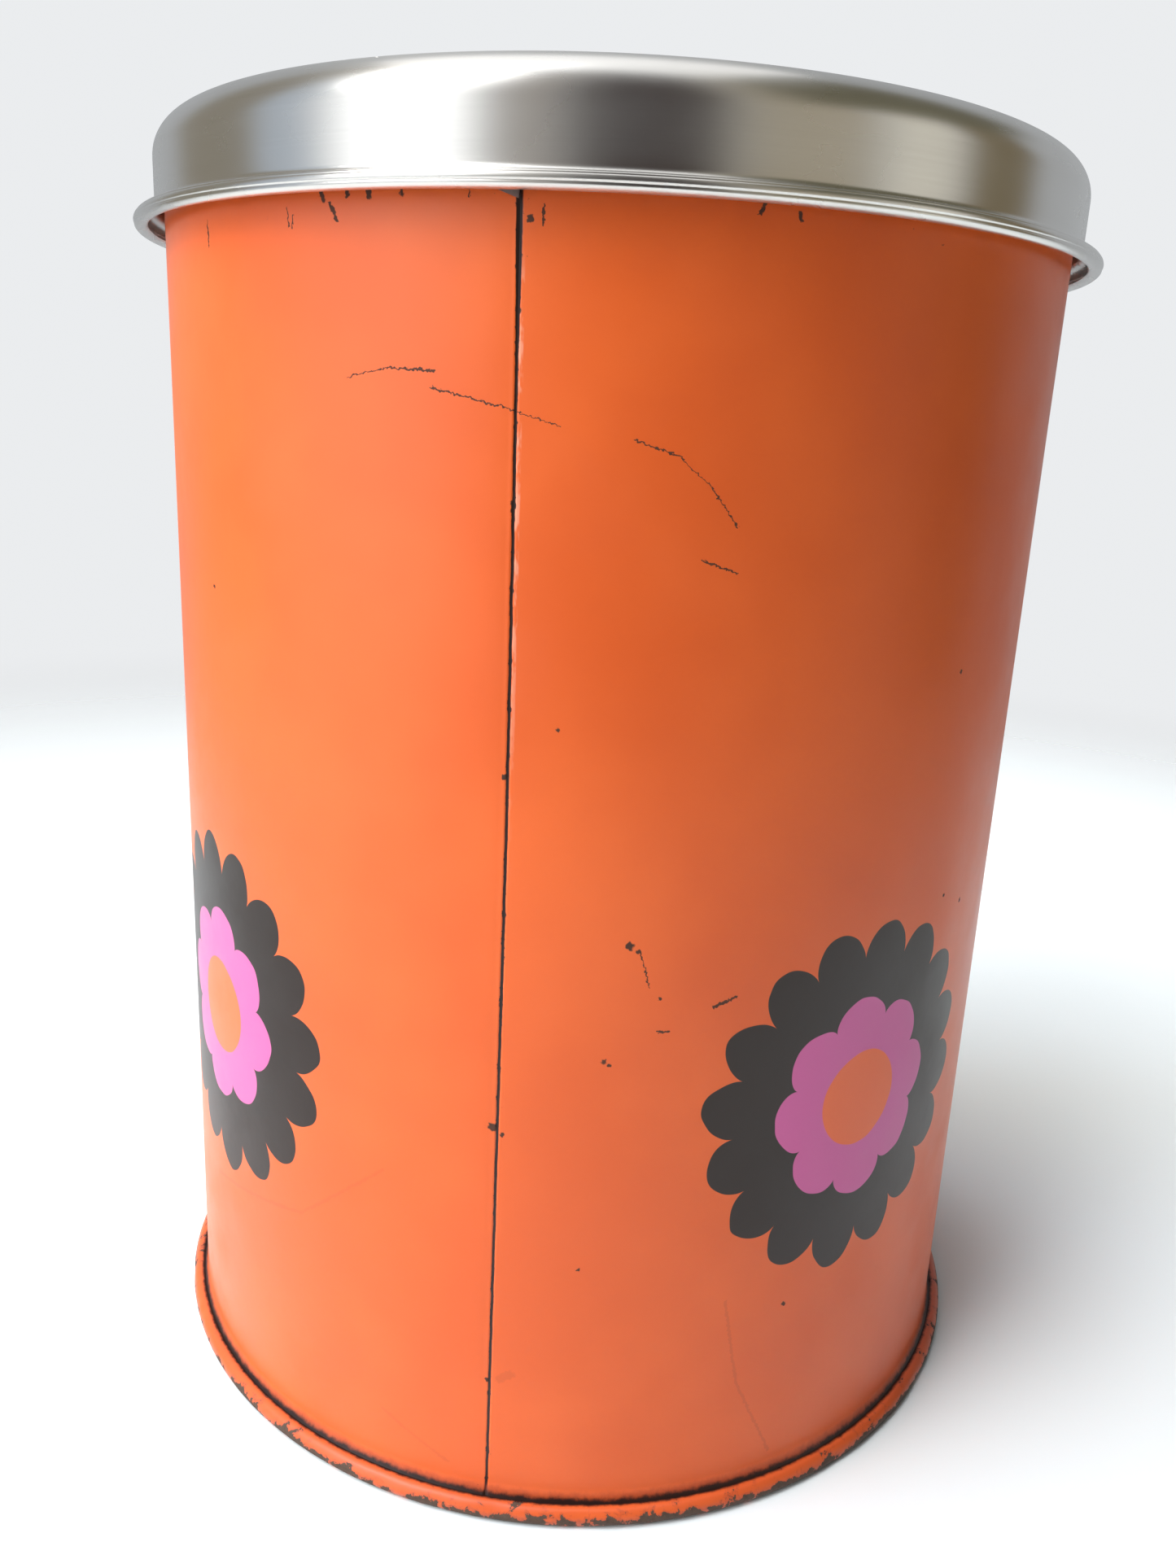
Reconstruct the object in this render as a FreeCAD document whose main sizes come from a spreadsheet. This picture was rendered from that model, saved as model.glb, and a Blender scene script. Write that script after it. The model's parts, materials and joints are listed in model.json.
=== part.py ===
import FreeCAD, Part
import math
import os
import re

import Sketcher
from FreeCAD import Placement, Rotation, Vector

# A round pedal bin: a rolled and seamed sheet-steel body with a pressed floor, a domed lid on a
# hidden rear hinge, a pedal lever under the floor, a push rod up the back, and a lift-out bucket.
# Millimetres. +Z is up, the floor is z = 0, the body's axis is x = y = 0, the pedal is at -Y and
# the lid's hinge and the body's seam are at +Y. The lid is shut and the pedal is up.

SIZES = {
    "body_radius": (139.5, "outside of the rolled wall"),
    "body_sheet": (0.5, "wall sheet"),
    "body_top": (382, "top of the wall's inward curl"),
    "rim_curl": (1.8, "outside radius of that curl"),
    "curl_turn": (285, "how far round the curl is rolled, degrees"),
    "flare_radius": (6, "bend of the trumpet foot of the wall"),
    "flange_turn": (62, "where the wall's flare ends, degrees below level"),
    "seam_fold": (1.2, "thickness of the fold inside the seam"),
    "seam_width": (6, "width of that fold"),
    "seam_start": (1, "fold's near edge from the seam line"),
    "seam_line": (1.2, "width of the seam's outer groove"),
    "seam_sink": (0.3, "depth of the seam's outer groove"),
    "notch_half": (27, "half width of the hinge notch in the rim"),
    "notch_depth": (16, "hinge notch, down from the rim"),
    "pan_sheet": (0.6, "floor pan sheet"),
    "pan_fit": (0.1, "gap between the floor pan and the wall"),
    "pan_turn": (67, "where the pan's own flare ends inside the bead"),
    "pan_corner": (3, "corner between the deck and the pan's wall"),
    "deck_gap": (4.35, "raised lever to the underside of the deck"),
    "bead_radius": (3.1, "foot bead, section radius"),
    "bead_height": (3, "centre of the foot bead above the floor"),
    "bead_set": (1.84, "bead's centre out from the wall's flare"),
    "bead_turn": (61.8, "bead's centre, degrees round the flare"),
    "wrap_turn": (32, "bead's groove for the wall, degrees round the flare"),
    "ring_gap": (1.2, "bucket foot to the locating ring on the deck"),
    "ring_width": (2, "locating ring, across"),
    "ring_rise": (2, "locating ring, above the deck"),
    "lid_gap": (2.2, "lid's skirt to the wall"),
    "lid_sheet": (0.5, "lid sheet"),
    "lid_overlap": (18, "centre of the lid's rolled rim below the body's rim"),
    "lid_curl": (2.15, "rolled rim of the lid, outside radius"),
    "lid_flange": (3.9, "skirt to the centre of the rolled rim"),
    "lid_cove": (2, "hollow between the skirt and its flange"),
    "lid_shoulder": (10.7, "round shoulder of the lid"),
    "shoulder_drop": (0.7, "where the shoulder starts, below the body's rim"),
    "lid_height": (16, "top of the dome above the body's rim"),
    "lid_open": (72, "how far the lid opens, degrees"),
    "buffer_gap": (0.3, "lid buffers to the body's rim"),
    "buffer_width": (3.2, "lid buffers, across the rim"),
    "buffer_sweep": (5, "lid buffers, degrees along the rim"),
    "hinge_wall_gap": (8, "hinge line to the inside of the wall"),
    "hinge_drop": (27, "hinge line below the body's rim"),
    "hinge_pin_radius": (2, "hinge pin"),
    "pin_fit": (0.05, "radial clearance of every pin that turns"),
    "arm_inner": (12.5, "inner face of each lid arm from the middle"),
    "arm_sheet": (1.5, "lid arm plate"),
    "arm_boss": (6, "lid arm round the hinge pin"),
    "arm_margin": (3, "metal round the slot in the lid arm"),
    "arm_slot_gap": (0.65, "clearance each side of the crank pin in its slot"),
    "neck_gap": (3, "lid arm's neck, rear edge forward of the crank pin"),
    "neck_width": (12, "lid arm's neck, front to back"),
    "arm_elbow": (8, "underside of the gooseneck above the hinge line"),
    "plate_sheet": (1.2, "bracket plate under the dome"),
    "plate_near": (80, "bracket plate, edge nearest the middle of the lid"),
    "plate_margin": (2, "bracket plate past the arms, to the rear"),
    "plate_sweep": (28, "bracket plate, degrees round the lid"),
    "weld_gap": (0.02, "spot-welded faces"),
    "ear_gap": (0.6, "lid arm to the hinge ear beside it"),
    "ear_sheet": (1.5, "hinge lug sheet"),
    "ear_boss": (5.5, "hinge ear round the pin"),
    "lug_fit": (0.1, "hinge lug to the wall"),
    "lug_margin": (3.9, "hinge lug past the middle of its outer rivet"),
    "lug_drop": (11, "hinge lug's lower edge below the hinge line"),
    "lug_clear": (0.8, "hinge lug to the curl above and to the notch"),
    "lug_notch_gap": (1, "hinge lug to the sides of the notch"),
    "rivet_drop": (9, "hinge rivets below the body's rim"),
    "rivet_turn": (14, "first hinge rivet, degrees from the seam"),
    "rivet_step": (4.5, "second hinge rivet, degrees further"),
    "rivet_radius": (1.6, "rivet shank"),
    "rivet_head": (3, "rivet head, radius"),
    "rivet_thick": (1.1, "rivet head, height"),
    "rivet_fit": (0.05, "rivet shank in its hole"),
    "clip_sheet": (0.8, "retaining clips"),
    "clip_width": (2, "retaining clips beyond their pin"),
    "clip_gap": (0.25, "retaining clips to the plate beside them"),
    "clip_fit": (0.02, "retaining clips on their pins"),
    "pin_tail": (1.2, "pins past their clips"),
    "rod_wall_gap": (20, "push rod to the inside of the wall"),
    "rod_radius": (2.5, "push rod"),
    "rod_eye": (5.5, "flattened eye of the push rod, radius"),
    "rod_eye_sheet": (4, "flattened eye of the push rod, thickness"),
    "crank_pin_radius": (2, "pin through the push rod's upper eye"),
    "lever_pin_radius": (2, "pin through the push rod's lower eye"),
    "lever_pin_gap": (0.35, "lower pin in the lever's fork"),
    "grommet_wall": (2, "deck grommet round the rod"),
    "grommet_flange": (2, "deck grommet's flanges beyond that"),
    "grommet_lip": (1, "deck grommet's flanges, thickness"),
    "guide_height": (250, "push rod guide above the floor"),
    "guide_rise": (25, "push rod guide's foot on the wall, height"),
    "guide_near": (3, "push rod guide's foot, near edge from the seam"),
    "guide_far": (24, "push rod guide's foot, far edge"),
    "guide_margin": (5, "push rod guide round its hole"),
    "guide_seam_gap": (6, "push rod guide's tab to the wall behind it"),
    "guide_fit": (0.08, "push rod in its guide"),
    "axle_front": (20, "pedal axle in front of the body's axis"),
    "axle_radius": (3, "pedal axle"),
    "floor_gap": (6.2, "pressed lever to the floor"),
    "lever_half": (11, "pedal lever channel, half width"),
    "lever_depth": (12, "pedal lever channel, height"),
    "lever_sheet": (1.5, "pedal lever channel sheet"),
    "lever_tail": (5.5, "pedal lever behind the rod's pin"),
    "lever_fork": (22, "open fork at the lever's rear end"),
    "lever_reach": (35, "pedal lever in front of the wall"),
    "slot_side": (4, "pedal slot beside the lever"),
    "slot_gap": (1.25, "pedal slot above and below the lever's travel"),
    "slot_corner": (4, "pedal slot corners"),
    "cheek_gap": (0.6, "lever to the cheeks of its bracket"),
    "cheek_sheet": (1.5, "pedal bracket sheet"),
    "cheek_boss": (7, "pedal bracket round the axle"),
    "bracket_half": (18, "pedal bracket, half length"),
    "bracket_rivet_side": (7, "bracket rivets from the middle"),
    "bracket_rivet_end": (5, "bracket rivets from the bracket's ends"),
    "tread_half": (30, "tread plate, half width"),
    "tread_length": (33, "tread plate, front to back"),
    "tread_nose": (5, "tread plate past the lever's front end"),
    "tread_sheet": (2, "tread plate"),
    "tread_corner": (6, "tread plate corners"),
    "tread_rivet_gap": (10, "tread rivets from the middle of the tread"),
    "pad_wrap": (3, "rubber pad round the tread plate"),
    "pad_lip": (1.5, "rubber pad under the tread plate"),
    "pad_over": (4, "rubber pad above the tread plate"),
    "pad_hold": (3.5, "rubber lip under the plate's edges"),
    "pad_fit": (0.1, "rubber pad to the tread plate"),
    "rib_count": (6, "ribs on the pad"),
    "rib_width": (2.6, "ribs, across"),
    "rib_rise": (1.2, "ribs, height"),
    "rib_end": (4, "ribs, ends from the pad's edge"),
    "bucket_rod_gap": (15, "bucket's rim to the push rod"),
    "bucket_front_gap": (8.5, "bucket's rim to the front wall"),
    "bucket_drop": (52, "bucket's rim below the body's rim"),
    "bucket_sheet": (1.6, "bucket wall"),
    "bucket_taper": (12.4, "bucket wall, narrower at the foot"),
    "bucket_lip": (4, "bucket's rim, height"),
    "bucket_lip_out": (3.6, "bucket's rim beyond the wall"),
    "bucket_recess": (3, "hollow under the bucket's floor"),
    "bucket_corner": (3.5, "round at the bucket's foot"),
    "bucket_ring": (3, "flat foot ring of the bucket"),
    "bucket_stand": (0.05, "bucket's foot to the deck"),
    "boss_radius": (5, "bail bosses"),
    "boss_out": (3, "bail bosses beyond the wall"),
    "bail_drop": (8, "bail pivots below the bucket's rim"),
    "bail_radius": (2, "bail wire"),
    "bail_gap": (0.6, "bail wire to the bucket's rim"),
    "bail_hook": (9, "bail wire's hooked ends"),
    "bail_bend": (3.5, "bend at each hooked end"),
    "bail_corner": (14, "bend beside the grip"),
    "bail_short": (9, "straight of the bail inside the rim's reach"),
    "bail_fit": (0.15, "bail wire in its bosses"),
    "grip_radius": (6, "bail grip"),
    "grip_half": (42, "bail grip, half length"),
    "grip_waist": (0.8, "bail grip, thinner at its ends"),
    "grip_fit": (0.1, "bail grip round its wire"),
    "grip_gap": (0.3, "bail grip above the bucket's rim"),
}

# ---- places that follow from the sizes; each is text over the size names, in brackets ----

BODY_IN = "(body_radius - body_sheet)"
CURL_R = "(body_radius - rim_curl)"
CURL_Z = "(body_top - rim_curl)"
FLARE_R = "(body_radius + flare_radius)"
FLARE_Z = "(bead_height + (flare_radius + bead_set) * sin(bead_turn))"
BEAD_R = f"({FLARE_R} - (flare_radius + bead_set) * cos(bead_turn))"
PAN_OUT = f"({BODY_IN} - pan_fit)"
PAN_IN = f"({PAN_OUT} - pan_sheet)"

HINGE_Y = f"({BODY_IN} - hinge_wall_gap)"
HINGE_Z = "(body_top - hinge_drop)"
ROD_Y = f"({BODY_IN} - rod_wall_gap)"
CRANK = "(rod_wall_gap - hinge_wall_gap)"
HALF_STROKE = f"({CRANK} * tan(lid_open / 2))"
NOTCH_Z = "(body_top - notch_depth)"

GROMMET_WAIST = "(rod_radius + grommet_wall)"

LEVER_REAR = f"({ROD_Y} + axle_front)"
LEVER_FRONT = "(body_radius - axle_front + lever_reach)"
LEVER_SLOPE = f"({HALF_STROKE} / {LEVER_REAR})"
LEVER_TILT = f"atan({LEVER_SLOPE})"
AXLE_Y = "(-1 * axle_front)"
AXLE_Z = f"(floor_gap + lever_depth / 2 + {LEVER_FRONT} * {LEVER_SLOPE})"
DECK_UNDER = f"({AXLE_Z} + ({LEVER_REAR} + lever_tail) * {LEVER_SLOPE} + lever_depth / 2 + deck_gap)"
DECK_TOP = f"({DECK_UNDER} + pan_sheet)"
WALL_RISE = f"((body_radius - axle_front) * {LEVER_SLOPE})"
SLOT_TOP = f"({AXLE_Z} + {WALL_RISE} + lever_depth / 2 + slot_gap)"
SLOT_FLOOR = f"({AXLE_Z} - {WALL_RISE} - lever_depth / 2 - slot_gap)"
SLOT_HALF = "(lever_half + slot_side)"
TREAD_FRONT = f"({LEVER_FRONT} + tread_nose)"
TREAD_MIDDLE = f"({TREAD_FRONT} - tread_length / 2)"
BRACKET_OUT = "(lever_half + cheek_gap + cheek_sheet)"

LID_IN = "(body_radius + lid_gap)"
LID_OUT = f"({LID_IN} + lid_sheet)"
LID_TOP = "(body_top + lid_height)"
LID_CURL_R = f"({LID_OUT} + lid_flange)"
LID_CURL_Z = "(body_top - lid_overlap)"
FLANGE_TOP = f"({LID_CURL_Z} + lid_curl)"
SHOULDER_R = f"({LID_OUT} - lid_shoulder)"
SHOULDER_Z = "(body_top - shoulder_drop)"
CROWN = (
    f"(({SHOULDER_R}^2 + ({LID_TOP} - {SHOULDER_Z})^2 - lid_shoulder^2)"
    f" / (2 * ({LID_TOP} - {SHOULDER_Z} - lid_shoulder)))"
)

ARM_OUT = "(arm_inner + arm_sheet)"
EAR_IN = f"({ARM_OUT} + ear_gap)"
EAR_OUT = f"({EAR_IN} + ear_sheet)"
LUG_OUT = f"({BODY_IN} - lug_fit)"
LUG_IN = f"({LUG_OUT} - ear_sheet)"
LUG_FAR = f"({LUG_OUT} * sin(rivet_turn + rivet_step) + lug_margin)"
RIVET_Z = "(body_top - rivet_drop)"

BUCKET_BACK = f"({ROD_Y} - rod_radius - bucket_rod_gap)"
BUCKET_FRONT = f"({BODY_IN} - bucket_front_gap)"
BUCKET_RIM = f"(({BUCKET_BACK} + {BUCKET_FRONT}) / 2)"
BUCKET_Y = f"(({BUCKET_BACK} - {BUCKET_FRONT}) / 2)"
BUCKET_TOP = "(body_top - bucket_drop)"
BUCKET_Z = f"({DECK_TOP} + bucket_stand)"
BUCKET_WALL = f"({BUCKET_RIM} - bucket_lip_out)"
BUCKET_FOOT = f"({BUCKET_WALL} - bucket_taper)"
BAIL_Z = f"({BUCKET_TOP} - bail_drop)"
BAIL_R = f"({BUCKET_RIM} + bail_radius + bail_gap)"
BAIL_REACH = f"({BUCKET_RIM} - bail_short)"
GRIP_Z = f"({BUCKET_TOP} + grip_radius + grip_gap)"
BAIL_TILT = f"asin(({GRIP_Z} - {BAIL_Z}) / {BAIL_REACH})"

doc = FreeCAD.newDocument("pedal_bin")
sheet = doc.addObject("Spreadsheet::Sheet", "sizes")
pieces = []


# ---- the sheet and the links to it ----

def fill_sheet():
    """One row per size: its name, its plain number with the name as alias, and what it is."""
    for row, (name, (number, meaning)) in enumerate(SIZES.items(), start=1):
        sheet.set(f"A{row}", name)
        sheet.set(f"B{row}", str(number))
        sheet.setAlias(f"B{row}", name)
        sheet.set(f"C{row}", meaning)
    doc.recompute()


def linked(text):
    """The text with every size name pointed at the sheet."""
    return re.sub(r"[a-z_]+", lambda word: f"sizes.{word[0]}" if word[0] in SIZES else word[0], text)


def value(text):
    """What a text over the size names comes to."""
    result = sheet.evalExpression(linked(text))
    return float(getattr(result, "Value", result))


def bind(item, field, text):
    """Tie one property of an object to the sheet, if the text names a size."""
    if linked(text) != text:
        item.setExpression(field, linked(text))


def place(item, x="0", y="0", z="0", axis=(0, 0, 1), angle="0"):
    """Put an object at a bound place, turned by a bound angle about an axis."""
    item.Placement = Placement(Vector(value(x), value(y), value(z)), Rotation(Vector(*axis), value(angle)))
    for field, text in (("Base.x", x), ("Base.y", y), ("Base.z", z), ("Rotation.Angle", angle)):
        bind(item, f"Placement.{field}", text)


# ---- sketches ----

def polar(x, y, radius, angle):
    """The point at an angle on a circle, as a pair of texts."""
    return f"({x} + ({radius}) * cos({angle}))", f"({y} + ({radius}) * sin({angle}))"


def left(point, radius, long=False):
    """A corner reached by an arc that turns left, the short way round unless told."""
    return (*point, radius, 1, long)


def right(point, radius, long=False):
    """A corner reached by an arc that turns right."""
    return (*point, radius, -1, long)


def arc_centre(start, end, radius, turn, long):
    """The centre of the arc from start to end."""
    chord = end - start
    middle = (start + end) / 2
    height = math.sqrt(max(radius**2 - (chord.Length / 2) ** 2, 0))
    side = turn * (-1 if long else 1)
    normal = Vector(-chord.y, chord.x, 0).normalize()
    return middle + normal * height * side


def add_edge(sketch, start, end, corner):
    """The edge that reaches a corner: its index and the numbers of its start and end points."""
    if len(corner) == 2:
        return sketch.addGeometry(Part.LineSegment(start, end), False), 1, 2
    text, turn, long = corner[2:]
    radius = value(text)
    centre = arc_centre(start, end, radius, turn, long)
    ends = (start, end) if turn > 0 else (end, start)
    angles = [math.atan2(point.y - centre.y, point.x - centre.x) for point in ends]
    arc = Part.ArcOfCircle(Part.Circle(centre, Vector(0, 0, 1), radius), *angles)
    edge = sketch.addGeometry(arc, False)
    add_size(sketch, "Radius", (edge,), text)
    return (edge, 1, 2) if turn > 0 else (edge, 2, 1)


def add_outline(sketch, corners):
    """A closed outline. Each corner is (x, y) at the end of a straight edge, or left() or right()."""
    points = [Vector(value(corner[0]), value(corner[1]), 0) for corner in corners]
    edges = [
        add_edge(sketch, points[index - 1], points[index], corner) for index, corner in enumerate(corners)
    ]
    for index, (corner, (edge, _, end)) in enumerate(zip(corners, edges)):
        following, start, _ = edges[(index + 1) % len(edges)]
        sketch.addConstraint(Sketcher.Constraint("Coincident", edge, end, following, start))
        add_place(sketch, edge, end, corner[0], corner[1])


def add_path(sketch, corners):
    """An open line of straight runs and arcs, end to end."""
    points = [Vector(value(corner[0]), value(corner[1]), 0) for corner in corners]
    edges = [add_edge(sketch, *ends) for ends in zip(points, points[1:], corners[1:])]
    add_place(sketch, edges[0][0], edges[0][1], *corners[0][:2])
    for (edge, _, end), corner in zip(edges, corners[1:]):
        add_place(sketch, edge, end, *corner[:2])
    for (edge, _, end), (following, start, _) in zip(edges, edges[1:]):
        sketch.addConstraint(Sketcher.Constraint("Coincident", edge, end, following, start))


def add_circle(sketch, x, y, radius):
    """A circle with its centre and radius bound."""
    circle = Part.Circle(Vector(value(x), value(y), 0), Vector(0, 0, 1), value(radius))
    edge = sketch.addGeometry(circle, False)
    add_place(sketch, edge, 3, x, y)
    add_size(sketch, "Radius", (edge,), radius)


def add_place(sketch, edge, end, x, y):
    """Hold one point of an edge at a bound place."""
    add_size(sketch, "DistanceX", (-1, 1, edge, end), x)
    add_size(sketch, "DistanceY", (-1, 1, edge, end), y)


def add_size(sketch, kind, of, text):
    """One bound dimension."""
    index = sketch.addConstraint(Sketcher.Constraint(kind, *of, value(text)))
    bind(sketch, f"Constraints[{index}]", text)


def datum(body, role):
    """One of the body's own origin planes or axes."""
    return next(item for item in body.Origin.OriginFeatures if item.Role == role)


def draw(body, plane, outlines=(), circles=(), offset="0"):
    """A sketch on one of the body's own planes, moved along that plane's normal."""
    sketch = body.newObject("Sketcher::SketchObject", f"{body.Name}_sketch")
    sketch.AttachmentSupport = [(datum(body, plane), "")]
    sketch.MapMode = "FlatFace"
    sketch.AttachmentOffset = Placement(Vector(0, 0, value(offset)), Rotation())
    bind(sketch, "AttachmentOffset.Base.z", offset)
    for corners in outlines:
        add_outline(sketch, corners)
    for circle in circles:
        add_circle(sketch, *circle)
    return sketch


def box_outline(x_low, y_low, x_high, y_high):
    """A rectangle."""
    return [(x_low, y_low), (x_high, y_low), (x_high, y_high), (x_low, y_high)]


def round_outline(x_low, y_low, x_high, y_high, corner):
    """A rectangle with round corners."""
    in_left, in_right = f"({x_low} + {corner})", f"({x_high} - {corner})"
    in_low, in_high = f"({y_low} + {corner})", f"({y_high} - {corner})"
    return [
        (in_right, y_low),
        left((x_high, in_low), corner),
        (x_high, in_high),
        left((in_right, y_high), corner),
        (in_left, y_high),
        left((x_low, in_high), corner),
        (x_low, in_low),
        left((in_left, y_low), corner),
    ]


# ---- features ----

def new_body(label):
    """A sub-part made as a PartDesign body."""
    body = doc.addObject("PartDesign::Body", label)
    return piece(body, label)


def piece(item, label):
    """Name a finished sub-part and list it."""
    item.Label = label
    pieces.append(item)
    return item


def add_feature(body, kind, sketch, cuts, **settings):
    """A feature from a sketch; a text setting is bound, and a cut that removes nothing is refused."""
    before = body.Shape.Volume if cuts else 0
    feature = body.newObject(f"PartDesign::{kind}", f"{body.Name}_{kind.lower()}")
    feature.Profile = sketch
    for field, setting in settings.items():
        if isinstance(setting, str) and field in ("Length", "Length2", "Angle"):
            bind(feature, field, setting)
        else:
            setattr(feature, field, setting)
    doc.recompute()
    if cuts and not body.Shape.Volume < before - 1e-6:
        raise RuntimeError(f"{feature.Name} cuts nothing")
    return feature


def revolve(body, sketch, angle="360", centred=False):
    return add_feature(
        body, "Revolution", sketch, False,
        ReferenceAxis=(sketch, ["V_Axis"]), Angle=angle, Midplane=centred,
    )


def spin(body, sketch):
    return add_feature(body, "Revolution", sketch, False, ReferenceAxis=(sketch, ["H_Axis"]), Angle="360")


def groove(body, sketch):
    return add_feature(body, "Groove", sketch, True, ReferenceAxis=(sketch, ["V_Axis"]), Angle="360")


def pad(body, sketch, length, back=False):
    return add_feature(body, "Pad", sketch, False, Length=length, Reversed=back)


def pad_both(body, sketch, length):
    return add_feature(body, "Pad", sketch, False, SideType="Symmetric", Length=length)


def pocket(body, sketch, length, back=False):
    return add_feature(body, "Pocket", sketch, True, Length=length, Reversed=back)


def pocket_through(body, sketch, back=False):
    return add_feature(body, "Pocket", sketch, True, Type="ThroughAll", Reversed=back)


def pocket_both(body, sketch, length):
    return add_feature(body, "Pocket", sketch, True, SideType="Symmetric", Length=length)


def mirror(body, features):
    """The same features on the other side of the middle plane x = 0."""
    feature = body.newObject("PartDesign::Mirrored", f"{body.Name}_mirror")
    feature.Originals = features
    feature.MirrorPlane = (datum(body, "YZ_Plane"), [""])
    body.Tip = feature
    doc.recompute()
    return feature


def radial_hole(body, turn, height, radius, reach):
    """A hole through the wall, square to it, at an angle from +Y."""
    before = body.Shape.Volume
    hole = body.newObject("PartDesign::SubtractiveCylinder", f"{body.Name}_hole")
    bind(hole, "Radius", radius)
    bind(hole, "Height", reach)
    hole.Placement = radial_placement(turn, "0", height)
    bind(hole, "Placement.Base.z", height)
    doc.recompute()
    if not body.Shape.Volume < before - 1e-6:
        raise RuntimeError(f"{hole.Name} cuts nothing")


def radial_placement(turn, distance, height):
    """Local +Z points straight out of the wall, at an angle from +Y towards -X."""
    lay_down = Rotation(Vector(1, 0, 0), -90)
    heading = Rotation(Vector(0, 0, 1), value(turn))
    return Placement(heading.multVec(Vector(0, value(distance), value(height))), heading * lay_down)


# ---- plain round parts ----

def cylinder(name, radius, height, z="0"):
    item = doc.addObject("Part::Cylinder", name)
    bind(item, "Radius", radius)
    bind(item, "Height", height)
    place(item, z=z)
    return item


def cross_pin(label, radius, half_length, y, z):
    """A pin along X."""
    pin = cylinder(label, radius, f"2 * {half_length}")
    place(pin, f"(-1 * {half_length})", y, z, (0, 1, 0), "90")
    return piece(pin, label)


def clip_pair(label, pin_radius, inner_face, y, z):
    """Two retaining rings, one at each end of a pin along X."""
    rings = []
    for name, start in (("left", f"(-1 * ({inner_face} + clip_sheet))"), ("right", inner_face)):
        disc = cylinder(f"{label}_{name}_disc", f"{pin_radius} + clip_width", "clip_sheet")
        bore = cylinder(f"{label}_{name}_bore", f"{pin_radius} + clip_fit", "clip_sheet")
        ring = doc.addObject("Part::Cut", f"{label}_{name}")
        ring.Base = disc
        ring.Tool = bore
        place(ring, start, y, z, (0, 1, 0), "90")
        rings.append(ring)
    return group(label, rings)


def group(label, members):
    """Identical fasteners that stay separate solids in one sub-part."""
    item = doc.addObject("Part::Compound", label)
    item.Links = members
    return piece(item, label)


def rivet(name, grip):
    """A rivet along its own Z: a head above z = 0, the grip below it and a closed tail."""
    shank = cylinder(f"{name}_shank", "rivet_radius", f"{grip} + rivet_thick", f"(-1 * {grip})")
    head = cylinder(f"{name}_head", "rivet_head", "rivet_thick")
    tail = cylinder(f"{name}_tail", "rivet_head - 0.2", "rivet_thick", f"(-1 * ({grip} + rivet_thick))")
    item = doc.addObject("Part::MultiFuse", name)
    item.Shapes = [shank, head, tail]
    return item


# ---- the body ----

def flare_point(radius, turn):
    """A point of the trumpet foot; the bend's centre lies outside the wall."""
    return polar(FLARE_R, FLARE_Z, f"-1 * ({radius})", turn)


def make_body_shell():
    """Rolled wall with a rolled-in rim, a trumpet foot, a lock seam, the hinge notch and the slot."""
    body = new_body("body_shell")
    inside = "flare_radius + body_sheet"
    hollow = "(rim_curl - body_sheet)"
    wall = draw(body, "YZ_Plane", [[
        flare_point("flare_radius", "flange_turn"),
        right(("body_radius", FLARE_Z), "flare_radius"),
        ("body_radius", CURL_Z),
        left(polar(CURL_R, CURL_Z, "rim_curl", "120"), "rim_curl"),
        left(polar(CURL_R, CURL_Z, "rim_curl", "curl_turn"), "rim_curl"),
        polar(CURL_R, CURL_Z, hollow, "curl_turn"),
        right(polar(CURL_R, CURL_Z, hollow, "120"), hollow),
        right((BODY_IN, CURL_Z), hollow),
        (BODY_IN, FLARE_Z),
        left(flare_point(inside, "flange_turn"), inside),
    ]])
    revolve(body, wall)
    fold_floor = f"({DECK_TOP} + 1)"
    fold = draw(body, "XY_Plane", [box_outline(
        "(-1 * (seam_start + seam_width))", f"({BODY_IN} - seam_fold)",
        "(-1 * seam_start)", f"({BODY_IN} + body_sheet / 4)",
    )], offset=fold_floor)
    pad(body, fold, f"{NOTCH_Z} - {fold_floor}")
    seam = draw(body, "XY_Plane", [box_outline(
        "(seam_line / -2)", "(body_radius - seam_sink)", "(seam_line / 2)", "(body_radius + 1)",
    )], offset=FLARE_Z)
    pocket(body, seam, f"{NOTCH_Z} - {FLARE_Z}", back=True)
    notch = draw(body, "XZ_Plane", [box_outline(
        "(-1 * notch_half)", NOTCH_Z, "notch_half", "(body_top + 1)",
    )])
    pocket_through(body, notch)
    slot = draw(body, "XZ_Plane", [slot_outline()])
    pocket_through(body, slot, back=True)
    for turn in rivet_turns():
        radial_hole(body, turn, RIVET_Z, "rivet_radius + rivet_fit", "body_radius + 2")
    return body


def slot_outline():
    """The pedal slot, seen from the front."""
    return round_outline(f"(-1 * {SLOT_HALF})", SLOT_FLOOR, SLOT_HALF, SLOT_TOP, "slot_corner")


def rivet_turns():
    """The four hinge rivets, as angles from +Y."""
    outer = "(rivet_turn + rivet_step)"
    return ["rivet_turn", outer, "(-1 * rivet_turn)", f"(-1 * {outer})"]


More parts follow.
